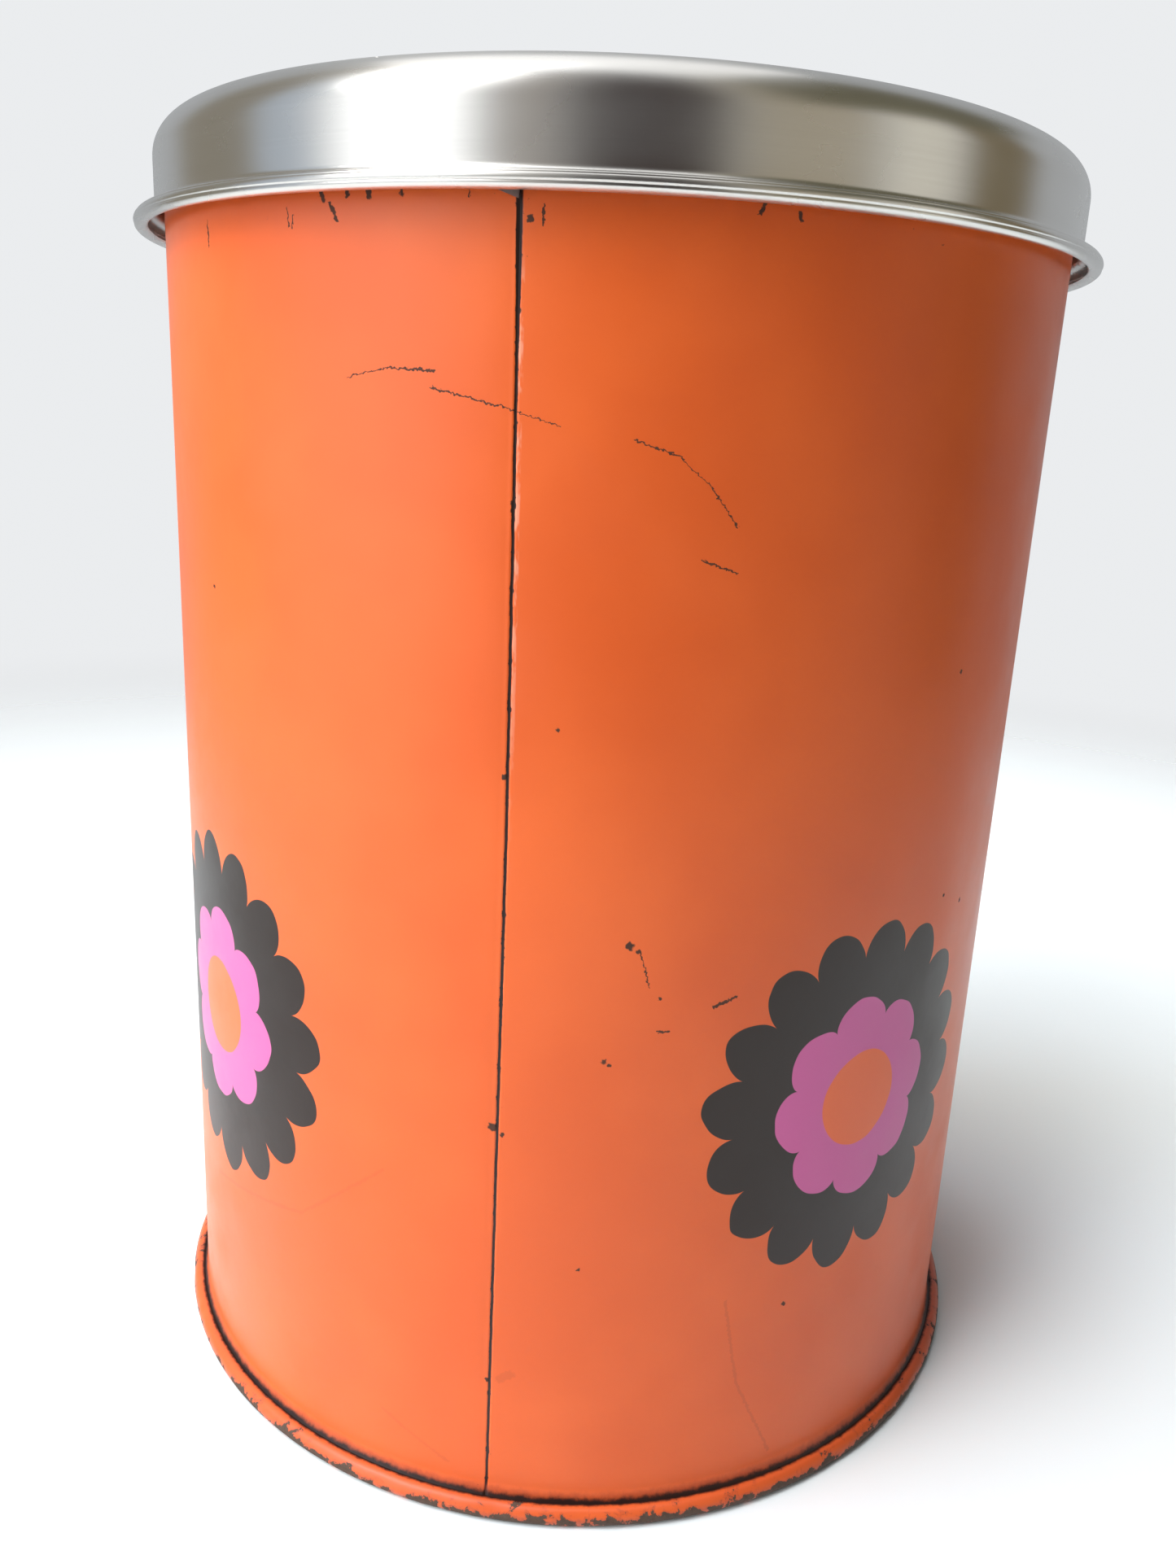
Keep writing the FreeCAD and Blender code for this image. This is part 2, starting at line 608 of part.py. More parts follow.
def make_base_pan():
    """Pressed floor: a raised deck, a wall inside the body and a bead that wraps the body's flare."""
    body = new_body("base_pan")
    near = "(flare_radius + body_sheet + pan_fit)"
    far = f"({near} + pan_sheet)"
    corner_r, corner_z = f"({PAN_OUT} - pan_corner)", f"({DECK_TOP} - pan_corner)"
    dish = draw(body, "YZ_Plane", [[
        ("0", DECK_TOP),
        (corner_r, DECK_TOP),
        right((PAN_OUT, corner_z), "pan_corner"),
        (PAN_OUT, FLARE_Z),
        left(flare_point(near, "pan_turn"), near),
        flare_point(far, "pan_turn"),
        right((PAN_IN, FLARE_Z), far),
        (PAN_IN, corner_z),
        left((corner_r, DECK_UNDER), "pan_corner - pan_sheet"),
        ("0", DECK_UNDER),
    ]])
    revolve(body, dish)
    flat = "sqrt(bead_radius^2 - bead_height^2)"
    bead = draw(body, "YZ_Plane", [[
        (f"({BEAD_R} + {flat})", "0"),
        left((f"({BEAD_R} - {flat})", "0"), "bead_radius", long=True),
    ]])
    revolve(body, bead)
    lip = "(flare_radius - pan_fit)"
    above, below = "(flange_turn - wrap_turn)", "(flange_turn + 1.5)"
    wrap = draw(body, "YZ_Plane", [[
        flare_point(lip, below),
        right(flare_point(lip, above), lip),
        flare_point(near, above),
        left(flare_point(near, below), near),
    ]])
    groove(body, wrap)
    slot = draw(body, "XZ_Plane", [slot_outline()])
    pocket_through(body, slot, back=True)
    holes = draw(body, "XY_Plane", circles=[
        ("0", ROD_Y, f"{GROMMET_WAIST} + pin_fit"),
        *[(x, y, "rivet_radius + rivet_fit") for x, y in bracket_rivet_places()],
    ], offset=f"({DECK_TOP} + 1)")
    pocket(body, holes, "pan_sheet + 2")
    inner = f"({BUCKET_FOOT} + ring_gap)"
    ring = draw(body, "XY_Plane", circles=[
        ("0", BUCKET_Y, inner),
        ("0", BUCKET_Y, f"{inner} + ring_width"),
    ], offset=f"({DECK_TOP} - pan_sheet / 2)")
    pad(body, ring, "ring_rise + pan_sheet / 2")
    return body


def curve_to_wall(body):
    """Trim a block to a plate that lies along the inside of the wall."""
    high = "(body_top + 5)"
    core = draw(body, "YZ_Plane", [box_outline("0", "0", LUG_IN, high)])
    groove(body, core)
    rind = draw(body, "YZ_Plane", [box_outline(LUG_OUT, "0", "(body_radius + 30)", high)])
    groove(body, rind)


def make_hinge_lug(label, side):
    """A bent bracket: a foot riveted to the wall beside the notch, and an ear for the hinge pin."""
    body = new_body(label)
    low = f"({HINGE_Z} - lug_drop)"
    step = f"({NOTCH_Z} - lug_clear)"
    high = f"({CURL_Z} - rim_curl - lug_clear)"
    near, inner, far = (
        f"({side} * {text})" for text in (EAR_IN, "(notch_half + lug_notch_gap)", LUG_FAR)
    )
    foot = draw(body, "XZ_Plane", [[
        (near, low), (far, low), (far, high), (inner, high), (inner, step), (near, step),
    ]])
    pad(body, foot, "body_radius + 5", back=True)
    curve_to_wall(body)
    middle = f"sqrt(({LUG_OUT} - ear_sheet / 2)^2 - ({EAR_IN} + ear_sheet / 2)^2)"
    ear = draw(body, "YZ_Plane", [[
        (middle, f"({low} + 1)"),
        (middle, f"({step} - 1)"),
        (HINGE_Y, f"({HINGE_Z} + ear_boss)"),
        left((f"({HINGE_Y} - ear_boss)", HINGE_Z), "ear_boss"),
        left((HINGE_Y, f"({HINGE_Z} - ear_boss)"), "ear_boss"),
    ]], offset=near)
    pad(body, ear, "ear_sheet", back=side < 0)
    bore = draw(body, "YZ_Plane", circles=[(HINGE_Y, HINGE_Z, "hinge_pin_radius + pin_fit")])
    pocket_both(body, bore, f"3 * {EAR_OUT}")
    for turn in rivet_turns():
        if (value(turn) < 0) == (side > 0):
            radial_hole(body, turn, RIVET_Z, "rivet_radius + rivet_fit", "body_radius + 2")
    return body


def make_hinge_rivets():
    """Four flat rivets, square to the wall, two through each lug."""
    rivets = []
    grip = "(body_sheet + lug_fit + ear_sheet + 0.1)"
    for index, turn in enumerate(rivet_turns()):
        item = rivet(f"hinge_rivet_{index}", grip)
        item.Placement = radial_placement(turn, "body_radius + 0.03", RIVET_Z)
        bind(item, "Placement.Base.z", RIVET_Z)
        rivets.append(item)
    return group("hinge_rivets", rivets)


def make_rod_guide():
    """A bent tab welded to the wall beside the seam, with the push rod's upper hole."""
    body = new_body("rod_guide")
    top = "(guide_height + guide_rise)"
    foot = draw(body, "XZ_Plane", [box_outline("guide_near", "guide_height", "guide_far", top)])
    pad(body, foot, "body_radius + 5", back=True)
    curve_to_wall(body)
    half = "(rod_radius + guide_margin)"
    middle = f"({LUG_OUT} - ear_sheet / 2)"
    tab = draw(body, "XY_Plane", [[
        (f"(-1 * {half})", f"({ROD_Y} - {half})"),
        (half, f"({ROD_Y} - {half})"),
        ("guide_far", f"({ROD_Y} + {half})"),
        ("guide_far", f"sqrt({middle}^2 - guide_far^2)"),
        ("guide_near", f"sqrt({middle}^2 - guide_near^2)"),
        ("guide_near", f"({BODY_IN} - guide_seam_gap)"),
        (f"(-1 * {half})", f"({ROD_Y} + {half})"),
    ]], circles=[("0", ROD_Y, "rod_radius + guide_fit")], offset="guide_height")
    pad(body, tab, "ear_sheet")
    return body


def make_rod_grommet():
    """A flanged bush that snaps into the deck round the push rod."""
    body = new_body("rod_grommet")
    bore = "(rod_radius + pin_fit)"
    flange = f"({GROMMET_WAIST} + grommet_flange)"
    top, low = f"({DECK_TOP} + pin_fit)", f"({DECK_UNDER} - pin_fit)"
    section = draw(body, "YZ_Plane", [[
        (bore, f"({low} - grommet_lip)"),
        (flange, f"({low} - grommet_lip)"),
        (flange, low),
        (GROMMET_WAIST, low),
        (GROMMET_WAIST, top),
        (flange, top),
        (flange, f"({top} + grommet_lip)"),
        (bore, f"({top} + grommet_lip)"),
    ]])
    revolve(body, section)
    place(body, y=ROD_Y)
    return body


def bracket_rivet_places():
    """The four rivets that hold the pedal bracket to the deck."""
    side = "bracket_rivet_side"
    end = "(bracket_half - bracket_rivet_end)"
    return [
        (f"({across} * {side})", f"({AXLE_Y} + {along} * {end})")
        for across in (-1, 1) for along in (-1, 1)
    ]


def make_pedal_bracket():
    """An upside-down U under the deck, its cheeks either side of the lever."""
    body = new_body("pedal_bracket")
    top = f"({DECK_UNDER} - weld_gap)"
    under = f"({top} - cheek_sheet)"
    front, rear = f"({AXLE_Y} - bracket_half)", f"({AXLE_Y} + bracket_half)"
    plate = draw(body, "XY_Plane", [box_outline(
        f"(-1 * {BRACKET_OUT})", front, BRACKET_OUT, rear,
    )], circles=[(x, y, "rivet_radius + rivet_fit") for x, y in bracket_rivet_places()], offset=under)
    pad(body, plate, "cheek_sheet")
    cheek = draw(body, "YZ_Plane", [[
        (rear, f"({under} + cheek_sheet / 2)"),
        (front, f"({under} + cheek_sheet / 2)"),
        (f"({AXLE_Y} - cheek_boss)", AXLE_Z),
        left((AXLE_Y, f"({AXLE_Z} - cheek_boss)"), "cheek_boss"),
        left((f"({AXLE_Y} + cheek_boss)", AXLE_Z), "cheek_boss"),
    ]], circles=[(AXLE_Y, AXLE_Z, "axle_radius + pin_fit")], offset="(lever_half + cheek_gap)")
    mirror(body, [pad(body, cheek, "cheek_sheet")])
    return body


def make_bracket_rivets():
    """Four rivets down through the deck and the bracket."""
    rivets = []
    for index, (x, y) in enumerate(bracket_rivet_places()):
        item = rivet(f"bracket_rivet_{index}", "(pan_sheet + weld_gap + cheek_sheet)")
        place(item, x, y, DECK_TOP)
        rivets.append(item)
    return group("bracket_rivets", rivets)


# ---- the lid ----

def crown_z(radius, depth):
    """Height of the dome at a radius, a depth below its outer surface."""
    return f"({LID_TOP} - {CROWN} + sqrt(({CROWN} - ({depth}))^2 - ({radius})^2))"


def crown_end(depth):
    """Where the dome runs into the shoulder, a depth below the outer surface."""
    share = f"(({CROWN} - ({depth})) / ({CROWN} - lid_shoulder))"
    radius = f"({SHOULDER_R} * {share})"
    height = f"({LID_TOP} - {CROWN} + ({SHOULDER_Z} - {LID_TOP} + {CROWN}) * {share})"
    return radius, height


def make_lid_shell():
    """One pressing: a shallow dome, a round shoulder, a skirt, a flange and a rolled rim."""
    body = new_body("lid_shell")
    hollow = "(lid_curl - lid_sheet)"
    outer_cove, inner_cove = "lid_cove", "(lid_cove + lid_sheet)"
    cove_r, cove_z = f"({LID_OUT} + lid_cove)", f"({FLANGE_TOP} + lid_cove)"
    under = f"({FLANGE_TOP} - lid_sheet)"
    roll = "(-155)"
    section = draw(body, "YZ_Plane", [[
        ("0", LID_TOP),
        right(crown_end("0"), CROWN),
        right((LID_OUT, SHOULDER_Z), "lid_shoulder"),
        (LID_OUT, cove_z),
        left((cove_r, FLANGE_TOP), outer_cove),
        (LID_CURL_R, FLANGE_TOP),
        right(polar(LID_CURL_R, LID_CURL_Z, "lid_curl", "-35"), "lid_curl"),
        right(polar(LID_CURL_R, LID_CURL_Z, "lid_curl", roll), "lid_curl"),
        polar(LID_CURL_R, LID_CURL_Z, hollow, roll),
        left(polar(LID_CURL_R, LID_CURL_Z, hollow, "-35"), hollow),
        left((LID_CURL_R, under), hollow),
        (cove_r, under),
        right((LID_IN, cove_z), inner_cove),
        (LID_IN, SHOULDER_Z),
        left(crown_end("lid_sheet"), "lid_shoulder - lid_sheet"),
        left(("0", f"({LID_TOP} - lid_sheet)"), f"{CROWN} - lid_sheet"),
    ]])
    revolve(body, section)
    return body


def arm_outline():
    """A lid arm: gooseneck down from the dome, boss on the hinge pin, crank over the rod's pin."""
    lean = "(lid_open / 2 + 180)"
    cap_y, cap_z = f"({HINGE_Y} - {CRANK})", f"({HINGE_Z} - {HALF_STROKE})"
    cap = "(crank_pin_radius + arm_slot_gap + arm_margin)"
    rear = f"({HINGE_Y} - {CRANK} - neck_gap)"
    front = f"({rear} - neck_width)"
    root = "lid_sheet + weld_gap + plate_sheet / 2"
    return [
        (rear, crown_z(rear, root)),
        (front, crown_z(front, root)),
        (f"({front} + neck_gap)", f"({HINGE_Z} + {CRANK})"),
        polar(cap_y, cap_z, cap, f"{lean} - 90"),
        left(polar(cap_y, cap_z, cap, lean), cap),
        left(polar(cap_y, cap_z, cap, f"{lean} + 90"), cap),
        polar(HINGE_Y, HINGE_Z, "arm_boss", f"{lean} + 90"),
        left(polar(HINGE_Y, HINGE_Z, "arm_boss", "30"), "arm_boss"),
        left(polar(HINGE_Y, HINGE_Z, "arm_boss", "107"), "arm_boss"),
        (f"({HINGE_Y} - {CRANK} - neck_gap / 6)", f"({HINGE_Z} + arm_elbow)"),
        (rear, f"({HINGE_Z} + 2 * arm_elbow)"),
    ]


def arm_slot_outline():
    """The slot in a lid arm; the rod's pin runs along it as the lid turns."""
    lean = "(lid_open / 2 + 180)"
    half = "(crank_pin_radius + arm_slot_gap)"
    near = polar(HINGE_Y, HINGE_Z, f"{CRANK} - arm_slot_gap / 2", lean)
    far = polar(HINGE_Y, HINGE_Z, f"{CRANK} / cos(lid_open / 2) + arm_slot_gap / 2", lean)
    return [
        polar(*far, half, f"{lean} - 90"),
        left(polar(*far, half, lean), half),
        left(polar(*far, half, f"{lean} + 90"), half),
        polar(*near, half, f"{lean} + 90"),
        left(polar(*near, half, f"{lean} + 180"), half),
        left(polar(*near, half, f"{lean} - 90"), half),
    ]


def make_lid_hinge_bracket():
    """A plate welded under the dome and two arms that carry the hinge and the crank slots."""
    body = new_body("lid_hinge_bracket")
    top, under = "(lid_sheet + weld_gap)", "(lid_sheet + weld_gap + plate_sheet)"
    edge = f"({HINGE_Y} - {CRANK} - neck_gap + plate_margin)"
    plate = draw(body, "YZ_Plane", [[
        ("plate_near", crown_z("plate_near", under)),
        right((edge, crown_z(edge, under)), f"{CROWN} - {under}"),
        (edge, crown_z(edge, top)),
        left(("plate_near", crown_z("plate_near", top)), f"{CROWN} - {top}"),
    ]])
    revolve(body, plate, "plate_sweep", centred=True)
    arm = draw(
        body, "YZ_Plane", [arm_outline(), arm_slot_outline()],
        circles=[(HINGE_Y, HINGE_Z, "hinge_pin_radius + pin_fit")], offset="arm_inner",
    )
    mirror(body, [pad(body, arm, "arm_sheet")])
    return body


def make_lid_buffers():
    """Four short rubber strips under the shoulder that land on the body's rim."""
    body = new_body("lid_buffers")
    inner, outer = f"({CURL_R} - buffer_width / 2)", f"({CURL_R} + buffer_width / 2)"
    low = "(body_top + buffer_gap)"
    bend = "(lid_shoulder - lid_sheet - weld_gap)"
    section = draw(body, "YZ_Plane", [[
        (inner, low),
        (outer, low),
        (outer, f"({SHOULDER_Z} + sqrt({bend}^2 - ({outer} - {SHOULDER_R})^2))"),
        left((inner, f"({SHOULDER_Z} + sqrt({bend}^2 - ({inner} - {SHOULDER_R})^2))"), bend),
    ]])
    strip = revolve(body, section, "buffer_sweep", centred=True)
    pattern = body.newObject("PartDesign::PolarPattern", "lid_buffers_pattern")
    pattern.Originals = [strip]
    pattern.Axis = (datum(body, "Z_Axis"), [""])
    pattern.Angle = 360
    pattern.Occurrences = 4
    body.Tip = pattern
    place(body, angle="45")
    return body


# ---- the linkage ----

def make_push_rod():
    """A wire rod with a flattened eye at each end."""
    body = new_body("push_rod")
    top, low = f"({HINGE_Z} - {HALF_STROKE})", f"({AXLE_Z} - {HALF_STROKE})"
    shaft = draw(body, "XY_Plane", circles=[("0", ROD_Y, "rod_radius")], offset=f"({low} + rod_eye / 2)")
    pad(body, shaft, f"{top} - {low} - rod_eye")
    eyes = draw(body, "YZ_Plane", circles=[(ROD_Y, top, "rod_eye"), (ROD_Y, low, "rod_eye")])
    pad_both(body, eyes, "rod_eye_sheet")
    bores = draw(body, "YZ_Plane", circles=[
        (ROD_Y, top, "crank_pin_radius + pin_fit"), (ROD_Y, low, "lever_pin_radius + pin_fit"),
    ])
    pocket_both(body, bores, "3 * rod_eye_sheet")
    return body


def lever_frame(item, extra_y="0", extra_z="0"):
    """Put a piece modelled on the level lever at the lever's place and tilt, pedal up."""
    place(
        item,
        y=f"({AXLE_Y} + ({extra_y}) * cos({LEVER_TILT}) + ({extra_z}) * sin({LEVER_TILT}))",
        z=f"({AXLE_Z} - ({extra_y}) * sin({LEVER_TILT}) + ({extra_z}) * cos({LEVER_TILT}))",
        axis=(1, 0, 0),
        angle=f"-1 * {LEVER_TILT}",
    )


def make_pedal_lever():
    """A pressed channel, open below, on the axle; its rear end is a fork for the push rod."""
    body = new_body("pedal_lever")
    half, top = "lever_half", "(lever_depth / 2)"
    inner_half, inner_top = "(lever_half - lever_sheet)", "(lever_depth / 2 - lever_sheet)"
    rear = f"({LEVER_REAR} + lever_tail)"
    section = draw(body, "XZ_Plane", [[
        (f"(-1 * {half})", f"(-1 * {top})"),
        (f"(-1 * {inner_half})", f"(-1 * {top})"),
        (f"(-1 * {inner_half})", inner_top),
        (inner_half, inner_top),
        (inner_half, f"(-1 * {top})"),
        (half, f"(-1 * {top})"),
        (half, top),
        (f"(-1 * {half})", top),
    ]], offset=f"(-1 * {rear})")
    pad(body, section, f"{rear} + {LEVER_FRONT}")
    fork = draw(body, "XY_Plane", [box_outline(
        f"(-1 * {inner_half})", f"({rear} - lever_fork)", inner_half, f"({rear} + 1)",
    )], offset=f"({top} + 1)")
    pocket(body, fork, "lever_depth / 2 + 1")
    pin_y = f"({LEVER_REAR} / 2 + {LEVER_REAR} / cos({LEVER_TILT}) / 2)"
    bores = draw(body, "YZ_Plane", circles=[
        ("0", "0", "axle_radius + pin_fit"), (pin_y, "0", "lever_pin_radius + lever_pin_gap"),
    ])
    pocket_both(body, bores, "3 * lever_half")
    rivets = draw(body, "XY_Plane", circles=[
        ("0", y, "rivet_radius + rivet_fit") for y in tread_rivet_places()
    ], offset=f"({top} + 1)")
    pocket(body, rivets, "lever_sheet + 2")
    lever_frame(body)
    return body


def tread_rivet_places():
    """Two rivets through the tread plate and the lever, as places along the level lever."""
    return [f"(-1 * {TREAD_MIDDLE} + {side} * tread_rivet_gap)" for side in (-1, 1)]


def make_tread_plate():
    """A rounded plate on top of the lever's front end."""
    body = new_body("tread_plate")
    front = f"(-1 * {TREAD_FRONT})"
    outline = round_outline(
        "(-1 * tread_half)", front, "tread_half", f"({front} + tread_length)", "tread_corner",
    )
    plate = draw(
        body, "XY_Plane", [outline],
        circles=[("0", y, "rivet_radius + rivet_fit") for y in tread_rivet_places()],
        offset="(lever_depth / 2 + weld_gap)",
    )
    pad(body, plate, "tread_sheet")
    lever_frame(body)
    return body


def make_tread_rivets():
    """Two rivets that hold the tread plate to the lever."""
    rivets = []
    for index, y in enumerate(tread_rivet_places()):
        item = rivet(f"tread_rivet_{index}", "(tread_sheet + weld_gap + lever_sheet)")
        lever_frame(item, y, "lever_depth / 2 + weld_gap + tread_sheet")
        rivets.append(item)
    return group("tread_rivets", rivets)


def make_pedal_pad():
    """A rubber cap stretched over the tread plate, ribbed on top and open below round the lever."""
    body = new_body("pedal_pad")
    front, rear = f"(-1 * {TREAD_FRONT})", f"(tread_length - {TREAD_FRONT})"
    half = "(tread_half + pad_wrap)"
    plate_low = "(lever_depth / 2 + weld_gap)"
    plate_top = f"({plate_low} + tread_sheet)"
    low = f"({plate_low} - pad_lip)"
    top = f"({plate_top} + pad_over)"
    outer = round_outline(
        f"(-1 * {half})", f"({front} - pad_wrap)", half, f"({rear} + pad_wrap)", "(tread_corner + pad_wrap)",
    )
    pad(body, draw(body, "XY_Plane", [outer], offset=low), f"{top} - {low}")
    cavity = round_outline(
        "(-1 * (tread_half + pad_fit))", f"({front} - pad_fit)", "(tread_half + pad_fit)",
        f"({rear} + pad_fit)", "(tread_corner + pad_fit)",
    )
    ceiling = f"({plate_top} + pad_fit)"
    pocket(body, draw(body, "XY_Plane", [cavity], offset=ceiling), "tread_sheet + 2 * pad_fit")
    heads = draw(body, "XY_Plane", circles=[
        ("0", y, "rivet_head + pad_fit") for y in tread_rivet_places()
    ], offset=f"({plate_top} + rivet_thick + pad_fit)")
    pocket(body, heads, "rivet_thick + 2 * pad_fit")
    mouth = round_outline(
        "(pad_hold - tread_half)", f"({front} + pad_hold)", "(tread_half - pad_hold)",
        f"({rear} - pad_hold)", "(tread_corner / 2)",
    )
    pocket(body, draw(body, "XY_Plane", [mouth], offset=plate_low), "pad_lip + 1")
    throat = box_outline(
        "(-1 * (lever_half + pad_fit))", f"({rear} - pad_hold - 1)", "(lever_half + pad_fit)",
        f"({rear} + pad_wrap + 1)",
    )
    pocket(body, draw(body, "XY_Plane", [throat], offset=plate_low), "pad_lip + 1")
    add_ribs(body, half, front, rear, top)
    lever_frame(body)
    return body


def add_ribs(body, half, front, rear, top):
    """Parallel ribs across the pad, evenly spaced from front to back."""
    end = f"({half} - rib_end)"
    start = f"({front} + rib_width / 2)"
    rib = pad(body, draw(body, "XY_Plane", [box_outline(
        f"(-1 * {end})", f"({start} - rib_width / 2)", end, f"({start} + rib_width / 2)",
    )], offset=f"({top} - rib_rise / 2)"), "1.5 * rib_rise")
    pattern = body.newObject("PartDesign::LinearPattern", "pedal_pad_ribs")
    pattern.Originals = [rib]
    pattern.Direction = (datum(body, "Y_Axis"), [""])
    bind(pattern, "Length", "tread_length - rib_width")
    bind(pattern, "Occurrences", "rib_count")
    body.Tip = pattern


# ---- the bucket ----

def bucket_wall(height):
    """Outside radius of the bucket's tapered wall at a height."""
    low, high = f"({BUCKET_Z} + bucket_corner)", f"({BUCKET_TOP} - bucket_lip)"
    return f"({BUCKET_FOOT} + bucket_taper * (({height}) - {low}) / ({high} - {low}))"


def make_bucket():
    """A moulded pail with a recessed floor, a turned-down rim and two bosses for the bail."""
    body = new_body("bucket")
    ring_out = f"({BUCKET_FOOT} - bucket_corner)"
    ring_in = f"({ring_out} - bucket_ring)"
    shelf = f"({BUCKET_Z} + bucket_recess)"
    floor = f"({shelf} + bucket_sheet)"
    lip_low, lip_inner = f"({BUCKET_TOP} - bucket_lip)", f"({BUCKET_RIM} - bucket_sheet)"
    lip_under = f"({BUCKET_TOP} - bucket_sheet)"
    section = draw(body, "YZ_Plane", [[
        ("0", shelf),
        (f"({ring_in} - bucket_recess / 2)", shelf),
        (ring_in, BUCKET_Z),
        (ring_out, BUCKET_Z),
        left((BUCKET_FOOT, f"({BUCKET_Z} + bucket_corner)"), "bucket_corner"),
        (BUCKET_WALL, lip_low),
        (BUCKET_WALL, lip_under),
        (lip_inner, lip_under),
        (lip_inner, lip_low),
        (BUCKET_RIM, lip_low),
        (BUCKET_RIM, f"({BUCKET_TOP} - bucket_sheet / 2)"),
        left((f"({BUCKET_RIM} - bucket_sheet / 2)", BUCKET_TOP), "bucket_sheet / 2"),
        (f"({BUCKET_WALL} - bucket_sheet / 2)", BUCKET_TOP),
        left((f"({BUCKET_WALL} - bucket_sheet)", f"({BUCKET_TOP} - bucket_sheet / 2)"), "bucket_sheet / 2"),
        (f"({BUCKET_FOOT} - bucket_sheet)", f"({floor} + bucket_corner)"),
        right((f"({BUCKET_FOOT} - bucket_sheet - bucket_corner)", floor), "bucket_corner"),
        ("0", floor),
    ]])
    revolve(body, section)
    boss = draw(body, "YZ_Plane", circles=[("0", BAIL_Z, "boss_radius")],
                offset=f"({bucket_wall(BAIL_Z)} - bucket_sheet / 2)")
    mirror(body, [pad(body, boss, "boss_out + bucket_sheet / 2")])
    bore = draw(body, "YZ_Plane", circles=[("0", BAIL_Z, "bail_radius + bail_fit")])
    pocket_both(body, bore, f"2 * {BUCKET_RIM} + 20")
    place(body, y=BUCKET_Y)
    return body


def bail_path():
    """One half of the bail, from its hooked end to the middle of the grip, in its own plane."""
    bend_y = "(-1 * bail_bend)"
    inner = f"({BAIL_R} - bail_corner)"
    drop = f"({BAIL_REACH} - bail_corner - bail_bend)"
    corner_x = f"sqrt({inner}^2 - {drop}^2)"
    return [
        (f"({BAIL_R} - bail_hook)", "0"),
        (f"({BAIL_R} - bail_bend)", "0"),
        right((BAIL_R, bend_y), "bail_bend"),
        right(
            (f"({corner_x} * {BAIL_R} / {inner})", f"({bend_y} - {drop} * {BAIL_R} / {inner})"), BAIL_R,
        ),
        right((corner_x, f"(-1 * {BAIL_REACH})"), "bail_corner"),
    ]


def mirrored_path(half):
    """The whole bail: one half, the straight under the grip, and the other half the other way."""
    other = []
    turns = [corner[2:] for corner in half[1:]] + [()]
    for corner, turn in zip(reversed(half), reversed(turns)):
        other.append((f"(-1 * {corner[0]})", corner[1], *turn))
    return half + other


def make_bail_wire():
    """A bent wire handle: hooked ends in the bosses, a round sweep and a straight for the grip."""
    body = new_body("bail_wire")
    path = draw(body, "XY_Plane")
    add_path(path, mirrored_path(bail_path()))
    section = draw(body, "YZ_Plane", circles=[("0", "0", "bail_radius")], offset=f"({BAIL_R} - bail_hook)")
    pipe = body.newObject("PartDesign::AdditivePipe", "bail_pipe")
    pipe.Profile = section
    pipe.Spine = path
    place(body, y=BUCKET_Y, z=BAIL_Z, axis=(1, 0, 0), angle=f"-1 * {BAIL_TILT}")
    return body


def make_bail_grip():
    """A moulded grip, fuller in the middle, round the straight of the bail."""
    body = new_body("bail_grip")
    bore = "(bail_radius + grip_fit)"
    end = "(grip_radius - grip_waist)"
    swell = "((grip_half^2 + grip_waist^2) / (2 * grip_waist))"
    section = draw(body, "XY_Plane", [[
        ("(-1 * grip_half)", bore),
        ("grip_half", bore),
        ("grip_half", end),
        left(("(-1 * grip_half)", end), swell),
    ]])
    spin(body, section)
    place(body, y=f"({BUCKET_Y} - {BAIL_REACH} * cos({BAIL_TILT}))", z=GRIP_Z)
    return body


# ---- the whole bin ----

def make_pins_and_clips():
    """Every loose pin, each with a pair of retaining rings."""
    clip_room = "clip_gap + clip_sheet + pin_tail"
    top, low = f"({HINGE_Z} - {HALF_STROKE})", f"({AXLE_Z} - {HALF_STROKE})"
    joints = [
        ("hinge_pin", "hinge_pin_radius", EAR_OUT, HINGE_Y, HINGE_Z),
        ("pedal_axle", "axle_radius", BRACKET_OUT, AXLE_Y, AXLE_Z),
        ("crank_pin", "crank_pin_radius", ARM_OUT, ROD_Y, top),
        ("lever_pin", "lever_pin_radius", "lever_half", ROD_Y, low),
    ]
    for label, radius, face, y, z in joints:
        cross_pin(label, radius, f"({face} + {clip_room})", y, z)
        clips = "axle_clips" if label == "pedal_axle" else f"{label}_clips"
        clip_pair(clips, radius, f"({face} + clip_gap)", y, z)


def check_document():
    """Stop if any object failed or any sub-part has no valid shape."""
    doc.recompute()
    for item in doc.Objects:
        if {"Invalid", "Error"} & set(item.State):
            raise RuntimeError(f"{item.Name} failed: {item.State}")
    for item in pieces:
        if item.Shape.isNull() or not item.Shape.isValid() or not item.Shape.Solids:
            raise RuntimeError(f"{item.Label} has no valid shape")


def write_parts():
    """One STEP file per sub-part, named after it."""
    os.makedirs("parts", exist_ok=True)
    for item in pieces:
        item.Shape.exportStep(f"parts/{item.Label}.step")
        print(f"{item.Label}: {len(item.Shape.Solids)} solid(s), {item.Shape.Volume:.0f} mm3")


def main():
    fill_sheet()
    make_body_shell()
    make_base_pan()
    make_hinge_lug("hinge_lug_left", -1)
    make_hinge_lug("hinge_lug_right", 1)
    make_hinge_rivets()
    make_rod_guide()
    make_rod_grommet()
    make_pedal_bracket()
    make_bracket_rivets()
    make_lid_shell()
    make_lid_hinge_bracket()
    make_lid_buffers()
    make_push_rod()
    make_pedal_lever()
    make_tread_plate()
    make_tread_rivets()
    make_pedal_pad()
    make_bucket()
    make_bail_wire()
    make_bail_grip()
    make_pins_and_clips()
    check_document()
    write_parts()


main()
